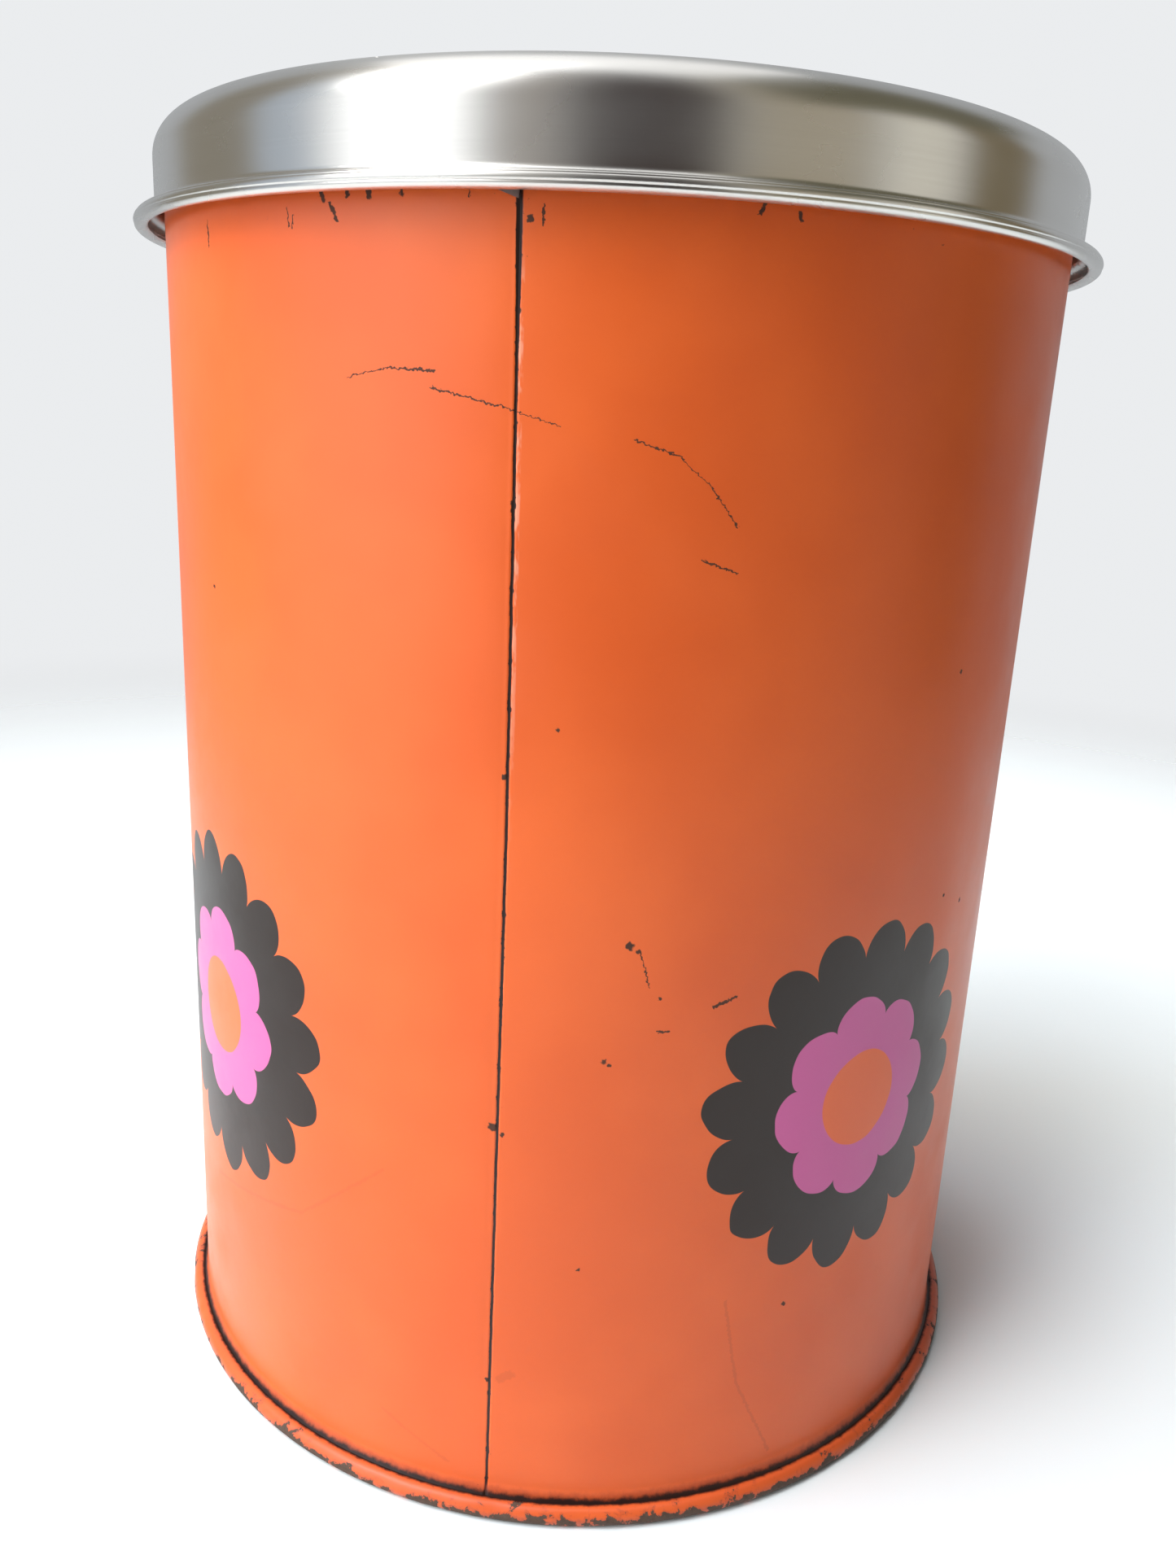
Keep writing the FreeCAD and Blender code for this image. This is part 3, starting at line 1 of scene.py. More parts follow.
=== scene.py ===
# %% [markdown]
# # A pedal bin in orange enamel and brushed steel
#
# The bin is a rolled steel drum with a lock seam up the back, a spun steel lid on a hinge inside the rim, a plastic
# bucket and a pedal that lifts the lid through a rod. The CAD model says where every part is and how it moves. This
# lesson dresses it: the large sheet-metal parts are made again as fine surfaces, and every part gets a finish.
# Shapes and the marks on the drum are in millimetres, as on a workshop drawing, and become metres where they are
# used. Everything inside a finish, and everything in the room, is in metres.

# %% Load the fixed frame
import json
import math

import bmesh
import bpy
import numpy as np
from mathutils import Matrix, Vector


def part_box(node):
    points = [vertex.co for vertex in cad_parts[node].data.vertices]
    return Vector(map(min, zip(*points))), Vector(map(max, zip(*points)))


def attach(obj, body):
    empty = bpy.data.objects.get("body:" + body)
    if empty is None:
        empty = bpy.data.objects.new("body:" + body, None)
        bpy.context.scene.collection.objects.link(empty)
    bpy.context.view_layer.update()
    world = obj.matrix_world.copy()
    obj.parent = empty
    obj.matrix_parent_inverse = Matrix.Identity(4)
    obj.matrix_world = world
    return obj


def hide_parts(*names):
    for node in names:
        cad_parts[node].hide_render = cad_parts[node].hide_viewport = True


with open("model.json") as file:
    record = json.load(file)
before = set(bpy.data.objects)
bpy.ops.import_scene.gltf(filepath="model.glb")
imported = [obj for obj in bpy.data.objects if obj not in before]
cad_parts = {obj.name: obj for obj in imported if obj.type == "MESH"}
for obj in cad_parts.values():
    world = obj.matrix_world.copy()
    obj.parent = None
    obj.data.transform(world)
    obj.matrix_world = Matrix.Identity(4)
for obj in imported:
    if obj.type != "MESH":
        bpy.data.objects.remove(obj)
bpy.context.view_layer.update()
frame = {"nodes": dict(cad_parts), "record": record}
nodes = frame["nodes"]
MM = 0.001

# %% [markdown]
# ## The camera
# The bin is seen from behind, close up, from a little above its middle. A short lens near the object makes the drum
# taper strongly towards the floor. The camera's axes are worked out from three turns: how far round the bin it
# stands, how far it looks down, and how far it is rolled, and go straight into its matrix.

# %% Camera
CAMERA_ROUND = math.radians(8.6)  # from the seam towards -X
CAMERA_TURN = math.radians(0.14)  # how far it looks past the bin's axis
CAMERA_DOWN = math.radians(16.08)
CAMERA_ROLL = 0.0489
CAMERA_AWAY, CAMERA_HIGH, LENS = 441.3, 314.8, 28.96


def camera_axes(heading, down, roll):
    """Right, up and forward of a camera that looks along heading, tipped down and then rolled about its own view."""
    forward = Vector((math.sin(heading) * math.cos(down), -math.cos(heading) * math.cos(down), -math.sin(down)))
    level = Vector((-math.cos(heading), -math.sin(heading), 0))
    upright = level.cross(forward)
    right = math.cos(roll) * level + math.sin(roll) * upright
    return right, math.cos(roll) * upright - math.sin(roll) * level, forward


towards_camera = Vector((-math.sin(CAMERA_ROUND), math.cos(CAMERA_ROUND), 0))
towards_right = Vector((-math.cos(CAMERA_ROUND), -math.sin(CAMERA_ROUND), 0))
right, up, forward = camera_axes(CAMERA_ROUND + CAMERA_TURN, CAMERA_DOWN, CAMERA_ROLL)
camera = bpy.data.objects.new("camera", bpy.data.cameras.new("camera"))
bpy.context.scene.collection.objects.link(camera)
camera.matrix_world = Matrix.Translation(
    towards_camera * CAMERA_AWAY * MM + Vector((0, 0, CAMERA_HIGH * MM))
) @ Matrix((right, up, -forward)).transposed().to_4x4()
camera.data.lens = LENS
camera.data.clip_start = 0.01
bpy.context.scene.camera = camera
bpy.context.scene.view_settings.view_transform = "Standard"
print("camera at", [round(c, 3) for c in camera.location])

# %% [markdown]
# ## Shader maths as plain Python
# A finish is a small calculation for each point of a surface. Drawing it with dozens of Math nodes by hand is slow
# to read, so a number that varies over the surface is wrapped in a class: adding two of them adds a Math node.
# Every other node comes from one method that takes its type, its settings and what its sockets are given.


# %% A number that varies over a surface
class Field:
    """An output socket with arithmetic: each sign adds one Math node and gives that node's output."""

    def __init__(self, paint, socket):
        self.paint, self.socket = paint, socket

    def __add__(self, other):
        return self.paint.math("ADD", self, other)

    def __sub__(self, other):
        return self.paint.math("SUBTRACT", self, other)

    def __mul__(self, other):
        return self.paint.math("MULTIPLY", self, other)

    def __truediv__(self, other):
        return self.paint.math("DIVIDE", self, other)

    def __pow__(self, other):
        return self.paint.math("POWER", self, other)

    def __rsub__(self, other):
        return self.paint.math("SUBTRACT", other, self)

    def __rtruediv__(self, other):
        return self.paint.math("DIVIDE", other, self)

    def __abs__(self):
        return self.paint.math("ABSOLUTE", self)

    __radd__, __rmul__ = __add__, __mul__


class Paint:
    """A node tree to be filled: a material's, or the world's."""

    def __init__(self, tree):
        self.tree = tree
        tree.nodes.clear()

    def node(self, kind, settings=None, inputs=None, output=0):
        """Adds a node: first its settings, then a value or a link for each socket. Gives one of its outputs."""
        made = self.tree.nodes.new(kind)
        for key, setting in (settings or {}).items():
            setattr(made, key, setting)
        for key, given in (inputs or {}).items():
            if isinstance(given, Field):
                self.tree.links.new(given.socket, made.inputs[key])
            else:
                made.inputs[key].default_value = given
        return Field(self, made.outputs[output]) if made.outputs else None

    def math(self, operation, *values, clamp=False):
        """Any Math node on numbers and fields."""
        return self.node("ShaderNodeMath", {"operation": operation, "use_clamp": clamp}, dict(enumerate(values)))

    def step(self, value, low, high):
        """0 below low, 1 above high and an S-shaped slope between; low may be the larger, which turns it round."""
        return self.node(
            "ShaderNodeMapRange",
            {"interpolation_type": "SMOOTHSTEP"},
            {"Value": value, "From Min": low, "From Max": high},
        )

    def along(self, operation, first, second):
        """A Vector Math node on two vectors; a distance or a dot product comes out as a number."""
        number = operation in ("DISTANCE", "DOT_PRODUCT")
        return self.node("ShaderNodeVectorMath", {"operation": operation}, {0: first, 1: second}, output=int(number))

    def mix(self, mask, under, over):
        """The colour over on the colour under, where mask is 1."""
        colours = {6: under, 7: over}
        colours = {k: v if isinstance(v, Field) else (*v, 1) for k, v in colours.items()}
        return self.node("ShaderNodeMix", {"data_type": "RGBA"}, {0: mask, **colours}, output=2)

    def place(self):
        """The point's place in the bin's own frame, in metres."""
        return self.node("ShaderNodeTexCoord", output="Object")

    def axes(self, vector=None):
        """x, y and z of a vector as three fields."""
        split = self.node("ShaderNodeSeparateXYZ", inputs={0: vector or self.place()})
        return [Field(self, socket) for socket in split.socket.node.outputs]

    def vector(self, x, y, z):
        """Three numbers or fields as one vector."""
        return self.node("ShaderNodeCombineXYZ", inputs={0: x, 1: y, 2: z})

    def noise(self, size, detail=2.0, rough=0.5, vector=None, warp=0.0):
        """Soft random patches about as large as size, in metres."""
        at = vector or self.place()
        sockets = {"Vector": at, "Scale": 1 / size, "Detail": detail, "Roughness": rough, "Distortion": warp}
        return self.node("ShaderNodeTexNoise", inputs=sockets)

    def cells(self, size, output=0):
        """Random points about size apart: the distance to the nearest, or, as output 1, its own random colour."""
        return self.node("ShaderNodeTexVoronoi", inputs={"Vector": self.place(), "Scale": 1 / size}, output=output)

    def bump(self, height, strength=1.0):
        """Turns a height in metres into shading normals."""
        return self.node("ShaderNodeBump", inputs={"Height": height, "Distance": 1.0, "Strength": strength})


def finish(name, build, **fixed):
    """A material: build fills its tree and gives what varies, and fixed holds the shader's constant sockets."""
    material = bpy.data.materials.new(name)
    material.use_nodes = True
    paint = Paint(material.node_tree)
    inputs = {key.replace("_", " "): value for key, value in fixed.items()}
    inputs.update(build(paint))
    inputs = {k: (*v, 1) if isinstance(v, tuple) and len(v) == 3 else v for k, v in inputs.items()}
    shader = paint.node("ShaderNodeBsdfPrincipled", inputs=inputs)
    paint.node("ShaderNodeOutputMaterial", inputs={"Surface": shader})
    print(f"{name}: {len(paint.tree.nodes)} nodes")
    return material


print("shader maths ready")

# %% [markdown]
# ## The studio
# Brushed steel shows the room more than itself: its bright and dark bands are a window, the darker middle of the
# room and pale walls. So the room is painted on the world, as a function of how far round the horizon a direction
# lies, and the camera itself sees only a plain pale wall. The floor is a plain disc that fades into that wall.

# %% The room
ROOM, WALL_TONE = (0.46, 0.48, 0.5), (0.83, 0.845, 0.86)  # what the bands leave bare, and what the camera sees
ROOM_BANDS = [  # start, stop and softness in degrees round the horizon, at which heights, and the colour
    (-124, -90, 14, "all", (0.29, 0.265, 0.215)),
    (-90, -72, 8, "all", (0.5, 0.57, 0.66)),
    (-68, -33, 22, "raised", (1.75, 1.8, 1.85)),  # the window
    (-29, -13, 16, "low", (0.36, 0.33, 0.3)),
    (-12, 24, 14, "low", (0.042, 0.03, 0.029)),  # the dark middle of the room
    (26, 58, 16, "low", (0.45, 0.4, 0.31)),
    (60, 82, 16, "low", (0.78, 0.75, 0.66)),  # a pale wall
    (84, 108, 12, "low", (0.19, 0.15, 0.085)),
    (38, 125, 24, "upper", (0.13, 0.12, 0.075)),
]


def band(paint, turn, start, stop, soft):
    """1 for directions between two turns round the horizon, in degrees, with soft edges of that width."""
    rise = paint.step(turn, start - soft / 2, start + soft / 2)
    return rise * paint.step(turn, stop + soft / 2, stop - soft / 2)


def paint_room(paint):
    """The world's light by direction: turn is 0 towards the camera and grows to the right of the picture.

    Matt surfaces see the same room with more light from the left and from above, and less from the right.
    """
    direction = paint.node("ShaderNodeTexCoord", output="Generated")
    x, y, z = paint.axes(direction)
    to_camera = x * towards_camera.x + y * towards_camera.y
    to_right = x * towards_right.x + y * towards_right.y
    turn = paint.math("ARCTAN2", to_right, to_camera) * math.degrees(1)
    heights = {
        "all": 1.0,
        "raised": paint.step(z, -0.25, 0.0),
        "low": paint.step(z, 0.97, 0.85),
        "upper": band(paint, z, 0.5, 0.93, 0.15),
    }
    light = ROOM
    for start, stop, soft, where, colour in ROOM_BANDS:
        light = paint.mix(band(paint, turn, start, stop, soft) * heights[where], light, colour)
    matt = paint.node("ShaderNodeLightPath", output="Is Diffuse Ray")
    side = 2.3 * band(paint, turn, -120, -28, 36) + 3.2 * band(paint, turn, -150, -75, 30)
    shade = 1.0 + matt * (side - 0.8 * band(paint, turn, 10, 160, 50))
    shade = shade * (1.0 + matt * (0.75 * paint.step(z, 0.1, 0.75) - 0.3))
    light = paint.mix(matt, light, paint.node("ShaderNodeVectorMath", {"operation": "SCALE"}, {0: light, 3: shade}))
    seen = paint.node("ShaderNodeLightPath", output="Is Camera Ray")
    light = paint.mix(seen, light, WALL_TONE)
    world = paint.node("ShaderNodeBackground", inputs={"Color": light, "Strength": 1.0})
    paint.node("ShaderNodeOutputWorld", inputs={"Surface": world})


world = bpy.data.worlds.new("room")
world.use_nodes = True
paint_room(Paint(world.node_tree))
bpy.context.scene.world = world
print("room:", len(ROOM_BANDS), "bands,", len(world.node_tree.nodes), "nodes")


# %% Soft lights
BIN_MIDDLE = Vector((0, 0, 0.2))


def soft_light(name, place, size, power, tint):
    """A square lamp aimed at the middle of the bin, which the camera doesn't see."""
    lamp = bpy.data.lights.new(name, "AREA")
    lamp.size, lamp.energy, lamp.color = size, power, tint
    holder = bpy.data.objects.new(name, lamp)
    bpy.context.scene.collection.objects.link(holder)
    aim = BIN_MIDDLE - Vector(place)
    holder.matrix_world = Matrix.Translation(place) @ aim.to_track_quat("-Z", "Y").to_matrix().to_4x4()
    holder.visible_camera = False


soft_light("window_light", (1.0, 0.95, 1.75), 0.9, 15, (1.0, 0.98, 0.95))
soft_light("ceiling_light", (0.2, 0.0, 2.2), 1.6, 8, (1.0, 1.0, 1.0))

# %% [markdown]
# ## Surfaces from numbers
# A sheet-metal part is a profile, its cross-section, carried round the axis. As numpy arrays that is one formula
# for all points at once. Sheet has two sides, so each shell is made of an outer and an inner grid of points, and a
# mask says which cells are metal. Wherever metal ends, at a hole or a cut edge, the two sides are joined, so every
# part is a closed solid.


# %% Profiles
def arc(centre, radius, start, stop, steps):
    """centre + radius (cos a, sin a), a running evenly from start to stop in degrees."""
    a = np.radians(np.linspace(start, stop, steps + 1))
    return np.stack([centre[0] + radius * np.cos(a), centre[1] + radius * np.sin(a)], 1)


def line(start, stop, steps):
    """Points evenly from start to stop."""
    return np.linspace(start, stop, steps + 1)


def joined(*stretches):
    """Stretches one after another, with a point that repeats the one before it left out."""
    points = np.concatenate(stretches)
    apart = np.linalg.norm(np.diff(points, axis=0), axis=1) > 1e-6
    return points[np.concatenate([[True], apart])]


def normals_of(profile):
    """The direction along the profile at each point, turned a quarter to its left."""
    along = np.gradient(profile, axis=0)
    along /= np.linalg.norm(along, axis=1, keepdims=True)
    return np.stack([-along[:, 1], along[:, 0]], 1)


def wrapped(turn):
    """A turn in radians, brought to between -pi and pi."""
    return (turn + math.pi) % (2 * math.pi) - math.pi


def around(radius, height, turn):
    """Points at radius and height, turned from +Y towards +X: (radius sin turn, radius cos turn, height)."""
    return np.stack([radius * np.sin(turn), radius * np.cos(turn), height + 0 * turn], -1)


# %% Meshes
def shell_faces(keep):
    """Faces of a closed shell on two grids whose columns wrap round: outer and inner faces, and the edges' faces."""
    rows, columns = keep.shape[0] + 1, keep.shape[1]
    grid = np.arange(rows * columns).reshape(rows, columns)
    beside = np.roll(grid, -1, 1)
    cells = np.stack([grid[:-1], beside[:-1], beside[1:], grid[1:]], -1)
    inner = rows * columns
    padded = np.pad(keep, ((1, 1), (0, 0)))
    ends = [
        (keep & ~padded[:-2], 0, 1),
        (keep & ~np.roll(keep, -1, 1), 1, 2),
        (keep & ~padded[2:], 2, 3),
        (keep & ~np.roll(keep, 1, 1), 3, 0),
    ]
    faces = [cells[keep], cells[keep][:, ::-1] + inner]
    for where, a, b in ends:
        first, second = cells[where][:, a], cells[where][:, b]
        faces.append(np.stack([second, first, first + inner, second + inner], 1))
    return np.concatenate(faces)


def volume_of(points, faces):
    """Signed volume inside quads, from the tetrahedra that their halves make with the origin."""
    a, b, c, d = (points[faces[:, k]] for k in range(4))
    halves = np.cross(b, c) * a + np.cross(c, d) * a
    return float(halves.sum()) / 6


def piece(name, points, faces, body, material, stands_for=()):
    """A mesh in its place, in metres, that rides on a CAD body, takes the finish it is given and hides the CAD parts it
    stands for.
    """
    points, faces = np.asarray(points, float).reshape(-1, 3) * MM, np.asarray(faces)
    if volume_of(points, faces) < 0:
        faces = faces[:, ::-1]
    used, faces = np.unique(faces, return_inverse=True)
    faces = faces.reshape(-1, 4)
    mesh = bpy.data.meshes.new(name)
    mesh.from_pydata(points[used], [], faces)
    mesh.polygons.foreach_set("use_smooth", np.ones(len(mesh.polygons), bool))
    mesh.update()
    made = bpy.data.objects.new(name, mesh)
    bpy.context.scene.collection.objects.link(made)
    made.data.materials.append(material)
    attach(made, body)
    if stands_for:
        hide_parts(*stands_for)
    print(f"{name}: {len(points[used])} points, {len(faces)} faces")
    return made


def weld(made, sharp_degrees):
    """Merges points that meet, as at the middle of a disc, and marks creases sharper than an angle."""
    work = bmesh.new()
    work.from_mesh(made.data)
    bmesh.ops.remove_doubles(work, verts=work.verts, dist=1e-7)
    for edge in work.edges:
        if len(edge.link_faces) == 2 and edge.calc_face_angle(0) > math.radians(sharp_degrees):
            edge.smooth = False
    work.to_mesh(made.data)
    work.free()


print("mesh tools ready")

# %% [markdown]
# ## The floor
# A plain disc. Its shader turns clear towards the edge, so the floor melts into the pale wall without a line.

# %% Floor
FLOOR_REACH, FADE_FROM, FADE_TO = 1.5, 0.45, 1.35  # metres from the bin: the disc's edge, and where it turns clear


def paint_floor(paint):
    """A dull pale surface that fades out between two distances from the bin."""
    x, y, _ = paint.axes()
    away = paint.math("SQRT", x * x + y * y)
    board = paint.node(
        "ShaderNodeBsdfPrincipled",
        inputs={"Base Color": (0.78, 0.82, 0.83, 1), "Roughness": 0.55 + 0.1 * paint.noise(0.02)},
    )
    clear = paint.node("ShaderNodeBsdfTransparent")
    mixed = paint.node("ShaderNodeMixShader", inputs={0: paint.step(away, FADE_FROM, FADE_TO), 1: board, 2: clear})
    paint.node("ShaderNodeOutputMaterial", inputs={"Surface": mixed})


turns = np.radians(np.arange(0, 360, 5))
floor_points = np.concatenate([[[0, 0, 0]], around(FLOOR_REACH, 0, turns)])
ring = np.arange(len(turns)) + 1
floor_mesh = bpy.data.meshes.new("floor")
floor_mesh.from_pydata(floor_points, [], np.stack([0 * ring, np.roll(ring, -1), ring], 1))
floor = bpy.data.objects.new("floor", floor_mesh)
floor_mesh.materials.append(bpy.data.materials.new("floor"))
floor_mesh.materials[0].use_nodes = True
paint_floor(Paint(floor_mesh.materials[0].node_tree))
bpy.context.scene.collection.objects.link(floor)
print("floor:", len(floor_mesh.polygons), "faces")

# %% [markdown]
# ## Orange enamel
# The drum is sprayed and baked. The finish has four layers of detail: a faint orange-peel ripple and patches of
# duller gloss; a printed rosette in each quarter, with dark and pink petals and an orange heart; fine dark scratches
# and chips that go down to dark steel; and dirt and painted shade where the wall meets the foot, with a red-brown
# painted shade on the flare above it. Places of marks are given unrolled: millimetres along the wall from the seam,
# to +X, and millimetres above the floor.

# %% Sizes of the drum
WALL_R, SHEET = 139.5, 0.5
CURL_R, CURL_Z, CURL = 137.7, 380.2, 1.8
FLARE_R, FLARE_Z, FLARE, FLARE_TURN = 145.5, 9.909, 6.0, 62
BEAD_R, BEAD_Z, BEAD = 141.8, 3.0, 3.1
SEAM_STRAIGHT, SEAM_LEAN = 215.0, 0.0085  # above this height, the seam leans to +X by this share


# %% Marks on the wall
def stroke(paint, at, start, stop, width):
    """Distance to the nearest point of a segment, in widths: start + share (stop - start), share held in 0 to 1."""
    span = (Vector(stop) - Vector(start)).to_3d()
    offset = paint.along("SUBTRACT", at, Vector(start).to_3d())
    share = paint.math("MULTIPLY", paint.along("DOT_PRODUCT", offset, span), 1 / span.length_squared, clamp=True)
    nearest = paint.node("ShaderNodeVectorMath", {"operation": "SCALE"}, {0: span, 3: share})
    return paint.along("DISTANCE", offset, nearest) * (1 / width)


def spot(paint, at, centre, size):
    """Distance to a place, in sizes."""
    return paint.along("DISTANCE", at, Vector(centre).to_3d()) * (1 / size)


def inked(paint, distances):
    """1 where any of several distances is under about 0.8, with soft edges."""
    nearest = distances[0]
    for distance in distances[1:]:
        nearest = paint.math("MINIMUM", nearest, distance)
    return paint.step(nearest, 1.0, 0.6)


SCRATCHES = [  # both ends and the half width of each line
    ((45, 322), (33, 324.5), 0.20), ((33, 324.5), (21, 324), 0.28),
    ((22, 320.5), (5, 317), 0.26), ((5, 317), (-10, 313), 0.16),
    ((-27, 311), (-38, 307.5), 0.26), ((-38, 307.5), (-46, 301), 0.18), ((-46, 301), (-53, 292), 0.22),
    ((-36, 183), (-39, 173), 0.22), ((-57, 166.5), (-63, 169), 0.55), ((-42, 160), (-45, 160), 0.4),
    ((99, 359.5), (98.6, 353), 0.3), ((63.5, 360), (63, 356), 0.25), ((61.5, 358.5), (62, 355.5), 0.3),
    ((49.5, 360.5), (47.5, 356.8), 0.55), ((52.3, 364), (51.6, 361.6), 0.8), ((45, 364), (44.4, 361.9), 0.7),
    ((39, 364), (38.2, 361.8), 0.8), ((30, 364), (29.4, 362), 0.6), ((13, 364), (13, 361.4), 0.25),
    ((-4.2, 360), (-4.2, 356), 0.3), ((-54, 364), (-52.5, 360.5), 0.5), ((-62, 361.5), (-62.6, 360), 0.5),
    ((-45, 284), (-54, 281), 0.3),
]
CHIPS = [  # place and radius
    (-33, 184.5, 1.3), (-35.5, 183, 0.9), (-42, 169.5, 0.6), (-28, 151, 1.0), (-12, 241, 0.7), (-29.5, 150, 0.6),
    (-1.4, 357, 1.0), (103, 265, 0.7), (-133, 253, 0.7), (-24, 86, 0.6), (-141, 185, 0.8), (-154, 180, 0.8),
    (0.9, 338, 0.9), (0.8, 331, 0.7), (0.6, 295, 0.8), (0.8, 228, 1.0), (1.2, 129, 1.6), (-1.5, 127, 1.0),
    (0.7, 46, 0.8), (-88, 66, 0.9),
]
STAINS = [  # as scratches
    ((-68, 72), (-74, 42), 0.6), ((-74, 42), (-88, 13), 0.6), ((117, 70), (65, 82), 0.7), ((65, 82), (34, 108), 0.5),
    ((34, 26), (12, 14), 0.6), ((-3, 47), (-6, 49), 1.6),
]
print("marks:", len(SCRATCHES), "scratches,", len(CHIPS), "chips and", len(STAINS), "stains")


# %% Rosette
ROSETTE_HEIGHT, ROSETTE_TURN = 0.1315, math.pi / 4
ROSETTE_TILT, ROSETTE_TALL = 0.0034, 1.04  # the print sits a little askew, and is a little taller than wide
DARK_PETALS = (0.1, 16, 0.0435, 0.0535)  # first turn, count, and radius between the petals and at their tips
PINK_PETALS = (0.5, 8, 0.0248, 0.0312)
HEART_R, PRINT_EDGE = 0.0145, 0.00012  # radius of the heart, and how soft every printed edge is
print("rosettes", ROSETTE_HEIGHT, "m above the floor, radius", DARK_PETALS[-1])


def petals(paint, angle, first, count, inner, outer):
    """A scalloped outline with one rounded petal per half wave.

    Its radius is inner + (outer - inner) |sin(count / 2 (angle + first))| ^ 0.6.
    """
    wave = abs(paint.math("SINE", (angle + first) * (count / 2)))
    return inner + (outer - inner) * wave ** 0.6


def rosette(paint, turn, z):
    """Masks of dark petals, pink petals and heart in each quarter, from distance and angle about its own centre."""
    quarter = abs(abs(turn) - math.pi / 2) - ROSETTE_TURN
    p = quarter * (WALL_R * MM)
    q = (z - ROSETTE_HEIGHT - ROSETTE_TILT * paint.math("SINE", turn)) * (1 / ROSETTE_TALL)
    wobble = (paint.noise(0.018) - 0.5) * 0.004
    reach = paint.math("SQRT", p * p + q * q) + wobble
    angle = paint.math("ARCTAN2", q, p)
    inside = [reach - petals(paint, angle, *kind) for kind in (DARK_PETALS, PINK_PETALS)]
    inside.append(reach - wobble * 0.5 - HEART_R)
    return [paint.step(distance, PRINT_EDGE, -PRINT_EDGE) for distance in inside]


# %% Enamel finish
ORANGE, ORANGE_DEEP = (0.765, 0.13, 0.024), (0.685, 0.105, 0.018)
PETAL_DARK, PETAL_PINK, PETAL_HEART = (0.019, 0.0085, 0.005), (0.62, 0.115, 0.33), (0.83, 0.145, 0.035)
BARE_DARK, RUST, STAIN = (0.03, 0.016, 0.012), (0.11, 0.035, 0.016), (0.3, 0.05, 0.012)
SEAM_DARK, SEAM_LIP = (0.02, 0.007, 0.005), (0.8, 0.36, 0.24)
# the foot's crease colour is dirt and painted shade; the red-brown is a painted shade on the flare above it
FOOT_DIRT_AND_SHADE, FLARE_SHADE_RED = (0.022, 0.006, 0.004), (0.24, 0.03, 0.008)


def seam_lines(paint, u, z):
    """Masks of the seam's dark groove, wider towards the rim, and of the worn pale lip on its right-hand side."""
    lean = paint.math("MAXIMUM", z - SEAM_STRAIGHT * MM, 0) * SEAM_LEAN
    off = u - lean + (paint.noise(0.006, 3, 0.6) - 0.5) * 0.0005
    half = 0.00042 + 0.0004 * paint.step(z, 0.325, 0.355) + 0.0003 * paint.step(paint.noise(0.004, 3, 0.7), 0.55, 0.7)
    groove = paint.step(abs(off) / half, 1.15, 0.75)
    lip = paint.step(off, -0.0017, -0.0013) * paint.step(off, -0.0003, -0.0005)
    worn = paint.step(paint.noise(1, 3, 0.7, vector=paint.vector(u * 300, 0, z * 90)), 0.45, 0.58)
    return groove, lip * worn * paint.step(z, 0.352, 0.34) * paint.step(z, 0.19, 0.29)


def paint_enamel(paint):
    """Orange paint with its print, scratches, chips and stains, by height above the floor and place round the drum."""
    x, y, z = paint.axes()
    turn = paint.math("ARCTAN2", x, y)
    u = turn * (WALL_R * MM)
    colour = paint.mix(paint.step(paint.noise(0.09, 3, 0.55), 0.35, 0.7), ORANGE, ORANGE_DEEP)
    rough = 0.34 + 0.1 * paint.step(paint.noise(0.05, 4, 0.6), 0.4, 0.7)
    height = paint.noise(0.0035, 1.0) * 0.00002
    dark, pink, heart = rosette(paint, turn, z)
    colour = paint.mix(dark, colour, PETAL_DARK)
    colour = paint.mix(pink, colour, PETAL_PINK)
    colour = paint.mix(heart, colour, PETAL_HEART)
    # marks with ragged outlines: the place at which they are looked up is jittered by fine noise
    ragged_u = (paint.noise(0.003, 3, 0.6) - 0.5) * 0.001 + (paint.noise(0.0009, 1) - 0.5) * 0.0014
    ragged_z = (paint.noise(0.0023, 3, 0.6) - 0.5) * 0.001 + (paint.noise(0.0008, 1) - 0.5) * 0.0014
    at = paint.vector(u + ragged_u, z + ragged_z, 0)
    lines = [
        [stroke(paint, at, Vector(start) * MM, Vector(stop) * MM, wide * MM) for start, stop, wide in kind]
        for kind in (SCRATCHES, STAINS)
    ]
    chips = [spot(paint, at, Vector(chip[:2]) * MM, chip[2] * MM) for chip in CHIPS]
    # more small chips under the rim, along the seam and at the foot
    rim, seam, low = paint.step(z, 0.345, 0.364), paint.step(abs(u), 0.004, 0.0005), paint.step(z, 0.012, 0.006)
    worn = paint.step(paint.noise(0.0016, 4, 0.65) + (0.07 * rim + 0.09 * seam + 0.1 * low), 0.785, 0.805)
    chipped = paint.math("MAXIMUM", worn, inked(paint, lines[0] + chips))
    colour = paint.mix(inked(paint, lines[1]) * 0.22, colour, STAIN)
    colour = paint.mix(chipped, colour, paint.mix(paint.noise(0.002), BARE_DARK, RUST))
    groove, lip = seam_lines(paint, u, z)
    colour = paint.mix(lip * 0.6, colour, SEAM_LIP)
    colour = paint.mix(groove, colour, SEAM_DARK)
    # dirt and painted shade where the wall meets the bead, and above it a red-brown painted shade on the flare
    foot = z + (paint.noise(0.003, 4, 0.65) - 0.5) * 0.002
    colour = paint.mix(paint.step(foot, 0.0096, 0.0070) * 0.7, colour, FLARE_SHADE_RED)
    colour = paint.mix(paint.step(foot, 0.0077, 0.0064), colour, FOOT_DIRT_AND_SHADE)
    return {"Base Color": colour, "Roughness": rough + chipped * 0.35, "Normal": paint.bump(height)}


enamel = finish("orange_enamel", paint_enamel, Metallic=0.0, IOR=1.42)

# %% [markdown]
# ## The drum
# One sheet, rolled into a drum and locked along a seam, curled in at the rim and flared out at the foot. The shell
# is cut away at the back for the hinge and at the front for the pedal. Grid lines are packed where something
# happens: at the seam, at the edges of the cuts and in the bends. The cells inside a cut are left out, and the
# points along its outline are moved onto it, so a coarse grid still gives a clean round corner.

